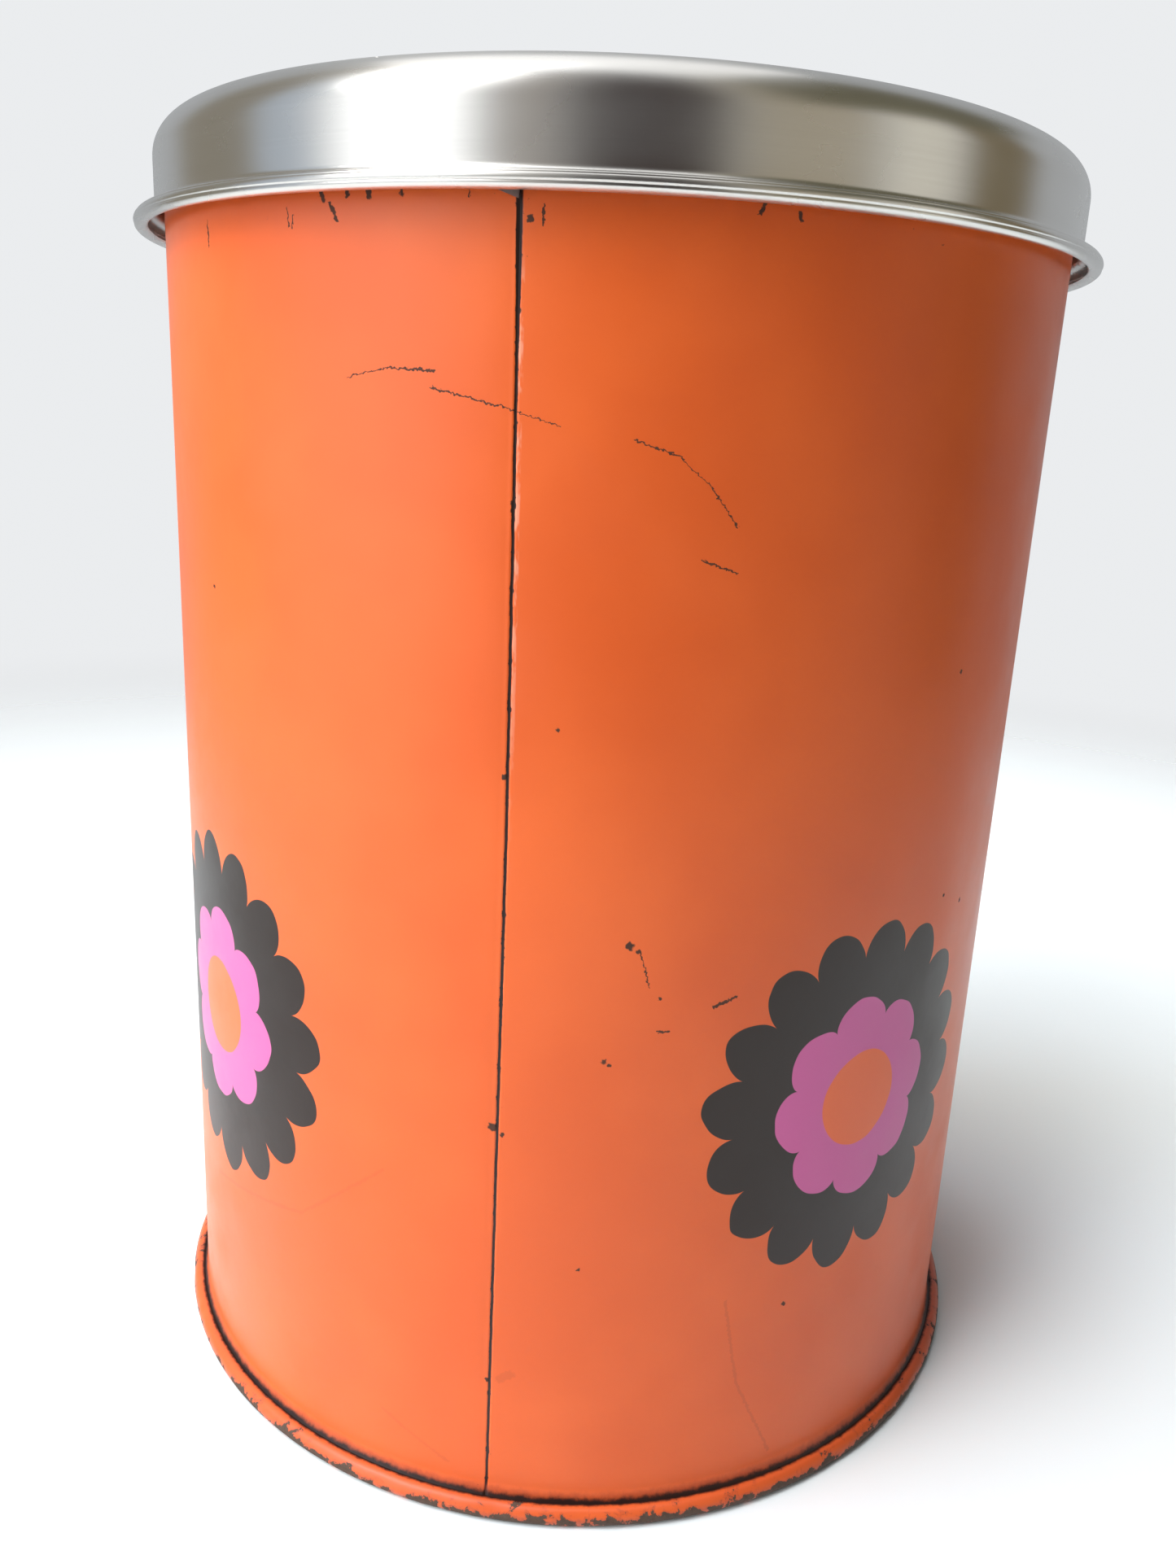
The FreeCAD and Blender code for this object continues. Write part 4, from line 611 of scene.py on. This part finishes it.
# %% Profile of the drum
NOTCH_HALF, NOTCH_Z = 27.0, 366.0
SLOT_HALF, SLOT_LOW, SLOT_HIGH, SLOT_CORNER = 15.0, 7.1, 36.6, 4.0


def flare_out(z):
    """Radius of the wall's outside: straight, then a circle of radius FLARE that bends it outward below FLARE_Z."""
    drop = np.clip(FLARE_Z - z, 0, FLARE * 0.9)
    return FLARE_R - np.sqrt(FLARE**2 - drop**2)


flare_end = FLARE_Z - FLARE * math.sin(math.radians(FLARE_TURN))
wall_heights = np.unique(np.concatenate([
    np.linspace(CURL_Z, NOTCH_Z, 5), np.linspace(NOTCH_Z, 40, 42), np.linspace(40, SLOT_HIGH, 4),
    np.linspace(SLOT_HIGH, FLARE_Z, 28), np.linspace(FLARE_Z, SLOT_LOW, 7), np.linspace(SLOT_LOW, flare_end, 10),
]).round(4))[::-1]
wall_line = np.stack([flare_out(wall_heights), wall_heights], 1)
curl_line = arc((CURL_R, CURL_Z), CURL, 285, 0, 24)
drum_profile = joined(curl_line, wall_line)
print("drum profile:", len(drum_profile), "points, foot at", drum_profile[-1].round(2))

# %% Columns round the drum
SEAM_WIDE, COLUMNS_APART = 1.2, 0.02  # degrees: finer columns this far each side of the seam, and the least gap
notch_turn = math.degrees(math.asin(NOTCH_HALF / WALL_R))
slot_turn = math.degrees(math.asin(SLOT_HALF / WALL_R))
drum_turns = np.unique(np.concatenate([
    np.arange(0, 360, 1.0), np.linspace(-SEAM_WIDE, SEAM_WIDE, 41) % 360, np.array([notch_turn, 360 - notch_turn]),
    180 + np.linspace(-slot_turn, slot_turn, 31),
]).round(4))
drum_turns = drum_turns[np.concatenate([[True], np.diff(drum_turns) > COLUMNS_APART])]


def grids(profile, turns):
    """Radius, height and turn of every point: rows follow the profile, columns the turns, given in degrees."""
    turn = np.radians(turns)[None, :] + 0 * profile[:, :1]
    return profile[:, :1] + 0 * turn, profile[:, 1:] + 0 * turn, turn


radius_grid, height_grid, turn_grid = grids(drum_profile, drum_turns)
print("drum grid:", turn_grid.shape)


# %% Cutting a grid
def rounded_box(x, z, centre, half, corner):
    """Signed distance to a rectangle with round corners, below 0 inside, and its gradient."""
    dx, dz = x - centre[0], z - centre[1]
    qx, qz = np.abs(dx) - (half[0] - corner), np.abs(dz) - (half[1] - corner)
    outside = np.hypot(np.maximum(qx, 0), np.maximum(qz, 0))
    distance = outside + np.minimum(np.maximum(qx, qz), 0) - corner
    corner_zone = outside > 1e-9
    gx = np.where(corner_zone, np.maximum(qx, 0) / np.maximum(outside, 1e-9), qx > qz) * np.sign(dx)
    gz = np.where(corner_zone, np.maximum(qz, 0) / np.maximum(outside, 1e-9), qx <= qz) * np.sign(dz)
    return distance, gx, gz


def cell_middles(values):
    """The average of each cell's four corners, on columns that wrap round."""
    across = (values + np.roll(values, -1, 1)) / 2
    return (across[:-1] + across[1:]) / 2


def rim_of(keep):
    """True for points that belong both to a kept cell and to an empty one."""
    padded = np.pad(keep.astype(int), ((1, 1), (0, 0)), mode="edge")
    touching = padded[:-1] + padded[1:]
    touching = touching + np.roll(touching, 1, 1)
    return (touching > 0) & (touching < 4)


# %% Cut the pedal slot and the hinge notch
SLOT_MIDDLE, SLOT_SIZE = (0, (SLOT_LOW + SLOT_HIGH) / 2), (SLOT_HALF, (SLOT_HIGH - SLOT_LOW) / 2)


def cut_slot(radius, height, turn, on_wall, radius_at):
    """Drops the cells inside the pedal slot, and moves the points round it onto its outline.

    A point's distance to the outline, times the direction in which that distance grows fastest, is the step to it.
    Gives the kept cells and the new radius, height and turn of every point.
    """
    side = radius * np.sin(turn)
    front = np.cos(turn) < 0
    distance, _, _ = rounded_box(cell_middles(side), cell_middles(height), SLOT_MIDDLE, SLOT_SIZE, SLOT_CORNER)
    keep = ~((distance < 0) & front[:-1] & on_wall[:-1, None])
    outline = rim_of(keep) & front
    distance, across, upward = rounded_box(side, height, SLOT_MIDDLE, SLOT_SIZE, SLOT_CORNER)
    side = np.where(outline, side - distance * across, side)
    height = np.where(outline, height - distance * upward, height)
    radius = np.where(outline, radius_at(height), radius)
    moved_turn = math.pi - np.arcsin(np.clip(side / np.maximum(radius, 1), -1, 1))
    return keep, radius, height, np.where(outline, moved_turn, turn)


on_wall = np.arange(len(drum_profile)) >= len(curl_line) - 1
keep_drum, radius_grid, height_grid, turn_grid = cut_slot(radius_grid, height_grid, turn_grid, on_wall, flare_out)
print("cells cut away for the slot:", int((~keep_drum).sum()))
across_notch = np.abs(cell_middles(radius_grid * np.sin(turn_grid))) < NOTCH_HALF
keep_drum &= ~(across_notch & (np.cos(turn_grid) > 0)[:-1] & (cell_middles(height_grid) > NOTCH_Z))
print("and for the notch as well:", int((~keep_drum).sum()))


# %% Seam and rolled sheet
GROOVE_DEEP, GROOVE_WIDE = 0.38, 0.42
HOLLOW_DEEP, HOLLOW_WIDE, HOLLOW_AT = 0.06, 1.2, 1.6  # a shallow dip on the +X side of the groove
FOLD_DEEP, FOLD_HALF, FOLD_EDGE, FOLD_AT, FOLD_LOW = 1.2, 3.2, 0.4, -4.0, 42.0  # the lock itself, inside the drum


def hump(distance, width):
    """exp(-(distance / width)^2), a smooth bump."""
    return np.exp(-((distance / width) ** 2))


def seam_at(height):
    """How far the seam stands off the back's middle, in mm to +X: it leans a little above a height."""
    return SEAM_LEAN * np.maximum(height - SEAM_STRAIGHT, 0)


def drum_relief(turn, height):
    """How far the outside and the inside stand off the sheet's own surface, in mm, at a turn and a height.

    Outside: the seam is a fine groove with a shallow dip beside it. Inside: the lock is a flat fold. Both sides: the
    sheet is a tenth of a millimetre or two out of round, in long waves that die out at the ends.
    """
    along_wall = WALL_R * wrapped(turn) - seam_at(height)
    calm = np.clip((height - 20) / 60, 0, 1) * np.clip((362 - height) / 40, 0, 1)
    waves = (
        0.05 * np.sin(3 * turn + 0.7 + height / 90)
        + 0.035 * np.sin(7 * turn + 2.1 - height / 55)
        + 0.03 * np.sin(height / 47 + 4 * np.cos(turn))
        - 0.12
    ) * calm
    seam = -GROOVE_DEEP * hump(along_wall, GROOVE_WIDE) - HOLLOW_DEEP * hump(along_wall - HOLLOW_AT, HOLLOW_WIDE)
    fold = np.clip((FOLD_HALF - np.abs(along_wall - FOLD_AT)) / FOLD_EDGE, 0, 1) * FOLD_DEEP
    fold = fold * (height < NOTCH_Z - 1) * (height > FOLD_LOW)
    return waves + seam, waves - fold


slope = normals_of(drum_profile)
wall_rows = on_wall[:, None]
outward_r, outward_z = (
    np.where(wall_rows, np.interp(-height_grid, -wall_heights, slope[len(curl_line) - 1 :, k]), slope[:, k : k + 1])
    for k in range(2)
)
relief_out, relief_in = (relief * wall_rows for relief in drum_relief(turn_grid, height_grid))


def moved_out(distance):
    """The drum's grid moved along its own normals by a distance."""
    return around(radius_grid + outward_r * distance, height_grid + outward_z * distance, turn_grid).reshape(-1, 3)


outer, inner = moved_out(relief_out), moved_out(relief_in - SHEET)
drum = piece(
    "drum", np.concatenate([outer, inner]), shell_faces(keep_drum), "can", enamel, ["body_shell"],
)
weld(drum, sharp_degrees=35)
print("drum box in mm:", [round(v / MM, 1) for v in drum.dimensions])

# %% [markdown]
# ## The foot
# The floor of the bin is a second pressing: a raised deck, a wall that fits inside the drum and a rolled bead that
# holds the drum's flared edge. The bead takes every knock and stands in every puddle, so its paint has gone along
# the lower edge in ragged flakes, down to brown steel. It is made as a ring of its own, with its dents as real
# shape, and the flakes come from noise that is pushed up towards the floor and on the side that was bumped most.


# %% Worn paint of the foot
def paint_foot(paint):
    """Flakes: noise over a threshold that falls towards the floor; dirt and painted shade in the crease between bead
    and wall.
    """
    x, y, z = paint.axes()
    radius = paint.math("SQRT", x * x + y * y)
    colour = paint.mix(paint.noise(0.03, 3), (0.66, 0.112, 0.026), (0.55, 0.088, 0.022))
    lower = paint.step(z, 0.0056, 0.0022)
    bumped = paint.step(x, 0.02, -0.13)
    flakes = paint.noise(0.0052, 5, 0.66, warp=0.4) + 0.2 * lower + 0.05 * bumped * lower
    flakes = flakes + 0.3 * (paint.noise(0.022, 2) - 0.5)
    bare = paint.step(flakes, 0.625, 0.64)
    thin = paint.step(flakes, 0.53, 0.625)
    brown = paint.mix(paint.noise(0.0015, 3, 0.7), (0.045, 0.026, 0.018), (0.12, 0.075, 0.052))
    colour = paint.mix(thin * 0.6, colour, (0.4, 0.07, 0.028))
    colour = paint.mix(bare, colour, brown)
    ragged = (paint.noise(0.003, 4, 0.65) - 0.5) * 0.0016
    crease = paint.step(z + ragged, 0.0042, 0.0056) * paint.step(radius + ragged, 0.1424, 0.1412)
    # painted shade with dirt: a dark band in the crease between bead and wall
    colour = paint.mix(crease, colour, FOOT_DIRT_AND_SHADE)
    height = paint.noise(0.005, 3) * 0.00012
    return {"Base Color": colour, "Roughness": 0.36 + 0.4 * bare + 0.2 * crease, "Normal": paint.bump(height)}


foot_enamel = finish("foot_enamel", paint_foot, IOR=1.42)


# %% Foot bead
def turned_ring(radii, heights, middle_y=0.0):
    """A closed section carried round an upright axis: both grid directions wrap, so the ring has no ends."""
    turns = np.radians(np.arange(radii.shape[1]) * 360 / radii.shape[1])[None, :]
    grid = np.arange(radii.size).reshape(radii.shape)
    beside = np.roll(grid, -1, 1)
    faces = np.stack([grid, beside, np.roll(beside, -1, 0), np.roll(grid, -1, 0)], -1).reshape(-1, 4)
    return around(radii, heights, turns).reshape(-1, 3) + [0, middle_y, 0], faces


DENTS, DENT_ROUND = 34, 0.5  # how many, and their half width round the section, in radians
DENT_LEAST, DENT_MOST = (0, -0.6, 0.012, 0.06), (2 * math.pi, 1.1, 0.04, 0.3)  # turn, place on section, width, depth


def bead_section(steps, columns):
    """A circle cut flat by the floor, its radius eased in by dents: each a smooth hump in both directions."""
    angle = np.radians(np.arange(steps) * 360 / steps)[:, None]
    turn = np.radians(np.arange(columns) * 360 / columns)[None, :]
    dents = 0.03 * np.sin(5 * turn + 1) + 0.02 * np.sin(13 * turn + 2 * angle)
    chance = np.random.default_rng(7)
    for _ in range(DENTS):
        at, lean, wide, deep = chance.uniform(DENT_LEAST, DENT_MOST)
        dents = dents - deep * hump(wrapped(turn - at), wide) * hump(wrapped(angle) - lean, DENT_ROUND)
    reach = BEAD - 0.05 + dents
    return BEAD_R + reach * np.cos(angle), np.maximum(BEAD_Z + reach * np.sin(angle), 0) + 0 * turn


bead_points, bead_faces = turned_ring(*bead_section(40, 540))
foot_bead = piece("foot_bead", bead_points, bead_faces, "can", foot_enamel, ["base_pan"])
print("foot bead box in mm:", [round(v / MM, 2) for v in foot_bead.dimensions])

# %% Floor pan
PAN_R, PAN_SHEET, PAN_GAP, PAN_TURN, PAN_CORNER = 138.9, 0.6, 0.1, 67, 3.0
DECK_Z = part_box("base_pan")[1][2] / MM - 2.0  # the locating ring stands 2 mm on the deck
ROD_Y, ROD_HOLE = 119.0, 4.55
deck_end = PAN_R - PAN_CORNER
pan_profile = joined(
    line((0, DECK_Z), (ROD_Y - 8, DECK_Z), 26), line((ROD_Y - 8, DECK_Z), (ROD_Y + 8, DECK_Z), 32),
    line((ROD_Y + 8, DECK_Z), (deck_end, DECK_Z), 4), arc((deck_end, DECK_Z - PAN_CORNER), PAN_CORNER, 90, 0, 8),
    line((PAN_R, DECK_Z - PAN_CORNER), (PAN_R, SLOT_HIGH), 3), line((PAN_R, SLOT_HIGH), (PAN_R, FLARE_Z), 28),
    arc((FLARE_R, FLARE_Z), FLARE + SHEET + PAN_GAP, 180, 180 + PAN_TURN, 16),
)
pan_turns = np.unique(np.concatenate([
    np.arange(0, 360, 1.0), np.linspace(-5, 5, 41) % 360, 180 + np.linspace(-slot_turn, slot_turn, 31),
]).round(4))
pan_r, pan_z, pan_turn = grids(pan_profile, pan_turns)
level = pan_z[:, :1] > DECK_Z - 0.01


def pan_radius(height):
    """Radius of the pan's wall: straight, then a circle that bends it outward below FLARE_Z."""
    bend = FLARE + SHEET + PAN_GAP
    return FLARE_R - np.sqrt(bend**2 - np.clip(FLARE_Z - height, 0, bend * 0.95) ** 2)


keep_pan, pan_r, pan_z, pan_turn = cut_slot(pan_r, pan_z, pan_turn, ~level[:, 0], pan_radius)
deck_x, deck_y = pan_r * np.sin(pan_turn), pan_r * np.cos(pan_turn)
hole = ((0, ROD_Y), (ROD_HOLE, ROD_HOLE), ROD_HOLE)
keep_hole = ~((rounded_box(cell_middles(deck_x), cell_middles(deck_y), *hole)[0] < 0) & level[:-1])
distance, across, along = rounded_box(deck_x, deck_y, *hole)
on_edge = rim_of(keep_hole) & level
deck_x, deck_y = deck_x - on_edge * distance * across, deck_y - on_edge * distance * along
pan_outer = np.stack([deck_x, deck_y, pan_z], -1)
inward = normals_of(pan_profile) * PAN_SHEET
pan_inner = pan_outer - around(inward[:, :1], inward[:, 1:], pan_turn)
pan_inner = np.where((pan_r < 1e-6)[..., None], pan_inner * [0, 0, 1], pan_inner)
pan_points = np.concatenate([pan_outer.reshape(-1, 3), pan_inner.reshape(-1, 3)])
floor_pan = piece(
    "floor_pan", pan_points, shell_faces(keep_pan & keep_hole), "can", foot_enamel, ["base_pan"],
)
weld(floor_pan, sharp_degrees=40)

# %% Locating ring for the bucket
RING_IN, RING_OUT, BUCKET_Y, RING_EDGE, RING_COLUMNS = 101.2, 103.2, -14.5, 0.5, 240
ring_section = joined(
    line((RING_OUT, DECK_Z - 0.2), (RING_OUT, DECK_Z + 2 - RING_EDGE), 2),
    arc((RING_OUT - RING_EDGE, DECK_Z + 2 - RING_EDGE), RING_EDGE, 0, 90, 5),
    arc((RING_IN + RING_EDGE, DECK_Z + 2 - RING_EDGE), RING_EDGE, 90, 180, 5),
    line((RING_IN, DECK_Z + 2 - RING_EDGE), (RING_IN, DECK_Z - 0.2), 2),
)
ring_radii, ring_heights = (ring_section[:, k : k + 1] + np.zeros(RING_COLUMNS) for k in range(2))
ring_points, ring_faces = turned_ring(ring_radii, ring_heights, BUCKET_Y)
locating_ring = piece("locating_ring", ring_points, ring_faces, "can", foot_enamel, ["base_pan"])
weld(locating_ring, sharp_degrees=60)

# %% [markdown]
# ## Brushed steel
# The lid is spun from stainless sheet and brushed as it turns, so its grain runs round the axis. Light that strikes
# such a grain spreads across it, never along it. The shader does that with its anisotropy; the fine streaks
# themselves are noise that is stretched very long round the lid and very thin across the profile.


# %% Brushed steel finish
LID_SCUFFS = [  # metres in x and y: light scratches on the shoulder
    ((0.070, 0.113), (0.064, 0.119)), ((0.066, 0.114), (0.052, 0.124)), ((0.056, 0.118), (0.046, 0.127)),
    ((0.049, 0.121), (0.034, 0.128)), ((0.081, 0.101), (0.076, 0.108)), ((0.040, 0.125), (0.037, 0.131)),
]


def paint_lid(paint):
    """Streaks: noise on (turn, radius, height) with the last two scaled up hundreds of times. Scuffs: fine marks."""
    x, y, z = paint.axes()
    radius = paint.math("SQRT", x * x + y * y)
    turn = paint.math("ARCTAN2", x, y)
    grain = paint.noise(1.0, 3, 0.6, vector=paint.vector(turn * 2.5, radius * 1300, z * 1300))
    coarse = paint.noise(1.0, 2, 0.5, vector=paint.vector(turn * 1.2, radius * 240, z * 240))
    smears = paint.step(paint.noise(0.045, 2, 0.5), 0.4, 0.8)
    at = paint.vector(x, y, 0)
    scuffs = inked(paint, [stroke(paint, at, start, stop, 0.0003) for start, stop in LID_SCUFFS])
    rubbed = inked(paint, [spot(paint, paint.vector(x, z, 0), (-0.141, 0.374), 0.012)])
    scuff = paint.math("MAXIMUM", scuffs, rubbed * paint.step(paint.noise(0.004, 4, 0.7), 0.56, 0.66))
    colour = paint.mix(grain, (0.675, 0.66, 0.633), (0.725, 0.71, 0.682))
    colour = paint.mix(smears * 0.25, colour, (0.55, 0.53, 0.5))
    colour = paint.mix(scuff * 0.6, colour, (0.9, 0.89, 0.86))
    rough = 0.235 + 0.05 * coarse + 0.06 * smears + 0.25 * scuff
    height = coarse * 0.000003
    return {"Base Color": colour, "Roughness": rough, "Normal": paint.bump(height, 0.7)}


lid_steel = finish("lid_steel", paint_lid, Metallic=1.0, Anisotropic=0.7, Anisotropic_Rotation=0.25)

# %% [markdown]
# ## The lid
# Its profile in one go, from the middle outwards: a very flat dome, a round shoulder, an upright skirt, a small
# hollow, a level flange and an edge that is rolled under itself until it almost closes, with two creases that run
# round it. The inner side is the same line moved in by the thickness of the sheet.

# %% Lid
LID_R, DOME_TOP, DOME_R = 142.2, 398.0, 1454.7
SHOULDER_R, SHOULDER_Z, SHOULDER = 131.5, 381.3, 10.7
COVE, FLANGE_Z, RIM_R, RIM_Z, RIM = 2.0, 366.15, 146.1, 364.0, 2.15
RIM_CREASES = [(-14, 9, 0.34), (40, 5, 0.17)]  # degrees round the rolled edge, half width in degrees, and depth
LID_COLUMNS = 360


def rolled_edge(steps):
    """An arc round the edge's middle: its radius RIM dips by depth exp(-((angle - place) / width)^2) at each crease."""
    angle = np.linspace(90, -155, steps + 1)
    reach = RIM - sum(depth * hump(angle - place, width) for place, width, depth in RIM_CREASES)
    outward = np.stack([np.cos(np.radians(angle)), np.sin(np.radians(angle))], 1)
    return np.array([(RIM_R, RIM_Z)]) + reach[:, None] * outward


shoulder_turn = math.degrees(math.atan2(SHOULDER_Z - DOME_TOP + DOME_R, SHOULDER_R))
dome_radii = np.linspace(0, SHOULDER_R + SHOULDER * math.cos(math.radians(shoulder_turn)), 28)
lid_profile = joined(
    np.stack([dome_radii, DOME_TOP - DOME_R + np.sqrt(DOME_R**2 - dome_radii**2)], 1),
    arc((SHOULDER_R, SHOULDER_Z), SHOULDER, shoulder_turn, 0, 18),
    line((LID_R, SHOULDER_Z), (LID_R, FLANGE_Z + COVE), 6),
    arc((LID_R + COVE, FLANGE_Z + COVE), COVE, 180, 270, 10),
    rolled_edge(64),
)


def carried_round(profile, thickness, columns):
    """Two grids: a profile (radius, height) turned round the axis, and the same moved in along its normals."""
    turns = np.radians(np.arange(columns) * 360 / columns)[None, :]
    inner = profile - normals_of(profile) * thickness
    inner[:, 0] = np.where(profile[:, 0] < 1e-6, 0, np.maximum(inner[:, 0], 0))
    return [around(p[:, :1] + 0 * turns, p[:, 1:] + 0 * turns, turns).reshape(-1, 3) for p in (profile, inner)]


lid_points = np.concatenate(carried_round(lid_profile, SHEET, LID_COLUMNS))
lid_faces = shell_faces(np.ones((len(lid_profile) - 1, LID_COLUMNS), bool))
lid = piece("lid", lid_points, lid_faces, "lid", lid_steel, ["lid_shell"])
weld(lid, sharp_degrees=50)
print("lid box in mm:", [round(v / MM, 1) for v in lid.dimensions])

# %% [markdown]
# ## Finishes for the working parts
# The hinge, rod and pedal keep their CAD shapes: pressed plates, pins and rivets are exactly what they look like.
# What they lack is a surface. Zinc plate is dull and slightly mottled, in crystals about two millimetres across;
# drawn wire is bright with fine lines along it; rubber and moulded plastic have a fine matt grain.


# %% Small finishes
def paint_zinc(paint):
    """Mottled crystals, each a little lighter or darker, with dulled patches and a yellowish stain."""
    crystal = paint.axes(paint.cells(0.0022, output=1))[0]
    cloud = paint.noise(0.012, 4, 0.6)
    stain = paint.step(paint.noise(0.006, 4, 0.7), 0.56, 0.72)
    colour = paint.mix(crystal * 0.6 + cloud * 0.3, (0.44, 0.45, 0.45), (0.66, 0.67, 0.66))
    colour = paint.mix(stain * 0.5, colour, (0.3, 0.26, 0.2))
    rough = 0.34 + 0.12 * crystal + 0.2 * stain
    return {"Base Color": colour, "Roughness": rough, "Normal": paint.bump(paint.noise(0.0006, 3) * 0.00003)}


def paint_bright(paint):
    """Near-mirror steel with fine drawn lines and a few dull spots."""
    x, y, z = paint.axes()
    lines = paint.noise(1.0, 3, 0.6, vector=paint.vector(x * 1800, y * 1800, z * 40))
    dull = paint.step(paint.noise(0.004, 4, 0.7), 0.55, 0.7)
    colour = paint.mix(lines * 0.5 + dull * 0.4, (0.75, 0.74, 0.72), (0.5, 0.48, 0.44))
    rough = 0.16 + 0.12 * lines + 0.25 * dull
    return {"Base Color": colour, "Roughness": rough, "Normal": paint.bump(lines * 0.000006)}


def paint_rubber(paint):
    """Almost black, dusty in the hollows, with a fine pebbled skin."""
    dust = paint.noise(0.008, 4, 0.6)
    skin = paint.cells(0.0006)
    colour = paint.mix(paint.step(dust, 0.4, 0.75), (0.018, 0.018, 0.019), (0.06, 0.058, 0.054))
    return {"Base Color": colour, "Roughness": 0.62 + 0.2 * dust, "Normal": paint.bump(skin * 0.00006)}


def paint_bucket(paint):
    """Dark moulded plastic: a fine spark-eroded grain, faint flow lines up the wall and scuffs."""
    x, y, z = paint.axes()
    flow = paint.noise(1.0, 2, 0.5, vector=paint.vector(x * 60, y * 60, z * 4))
    scuff = paint.step(paint.noise(1.0, 4, 0.7, vector=paint.vector(x * 90, y * 90, z * 500), warp=0.5), 0.66, 0.76)
    colour = paint.mix(flow * 0.7, (0.040, 0.041, 0.045), (0.065, 0.066, 0.07))
    colour = paint.mix(scuff * 0.5, colour, (0.16, 0.16, 0.165))
    rough = 0.42 + 0.12 * flow + 0.15 * scuff
    return {"Base Color": colour, "Roughness": rough, "Normal": paint.bump(paint.noise(0.0007, 2) * 0.00008)}


def paint_grip(paint):
    """Ivory plastic, a little yellowed, with a faint moulding texture and grime."""
    grime = paint.step(paint.noise(0.007, 4, 0.65), 0.5, 0.8)
    colour = paint.mix(paint.noise(0.03, 2), (0.7, 0.68, 0.61), (0.62, 0.58, 0.48))
    colour = paint.mix(grime * 0.35, colour, (0.25, 0.21, 0.16))
    height = paint.noise(0.0009, 2) * 0.00005
    return {"Base Color": colour, "Roughness": 0.34 + 0.2 * grime, "Normal": paint.bump(height)}


FINISHES = {
    "orange_enamel": enamel,
    "lid_steel": lid_steel,
    "zinc_steel": finish("zinc_steel", paint_zinc, Metallic=1.0),
    "bright_steel": finish("bright_steel", paint_bright, Metallic=1.0),
    "black_rubber": finish("black_rubber", paint_rubber),
    "bucket_plastic": finish("bucket_plastic", paint_bucket),
    "grip_plastic": finish("grip_plastic", paint_grip),
}

# %% [markdown]
# ## The lifted corner of the seam
# Under the lid the lock seam ends in a small tongue of bare sheet that has been turned over and has lifted off the
# wall. It is far smaller than the drum's own grid, so it is a thin curved patch of its own, highest at its free
# corner.

# %% Lifted corner
TAB_LEFT, TAB_RIGHT, TAB_LOW, TAB_HIGH = 7.6, 1.3, 361.0, 364.8  # along the wall to +X, and above the floor
TAB_LIFT, TAB_SHEET, TAB_OFF = 0.75, 0.35, 0.08  # how far its corner stands off, its sheet, and its gap to the wall
TAB_COLUMNS, TAB_ROWS = 13, 7

along_tab, down_tab = np.meshgrid(np.linspace(0, 1, TAB_COLUMNS), np.linspace(0, 1, TAB_ROWS))
tab_z = TAB_HIGH - (TAB_HIGH - TAB_LOW) * down_tab * (1 - 0.6 * along_tab)
tab_turn = (TAB_RIGHT + (TAB_LEFT - TAB_RIGHT) * along_tab) / WALL_R
tab_r = WALL_R + TAB_OFF + TAB_LIFT * down_tab * (1 - 0.5 * along_tab)
tab_cells = np.ones((TAB_ROWS - 1, TAB_COLUMNS), bool)
tab_cells[:, -1] = False  # the last column of cells would join the two ends round the drum
tab_points = np.concatenate([around(tab_r + t, tab_z, tab_turn).reshape(-1, 3) for t in (TAB_SHEET, 0)])
seam_tab = piece("seam_tab", tab_points, shell_faces(tab_cells), "can", FINISHES["zinc_steel"])
weld(seam_tab, sharp_degrees=40)

# %% Give every CAD part its finish
for row in frame["record"]["subparts"]:
    slots = nodes[row["node"]].data.materials
    slots.clear()
    slots.append(FINISHES[row["material_slot"]])
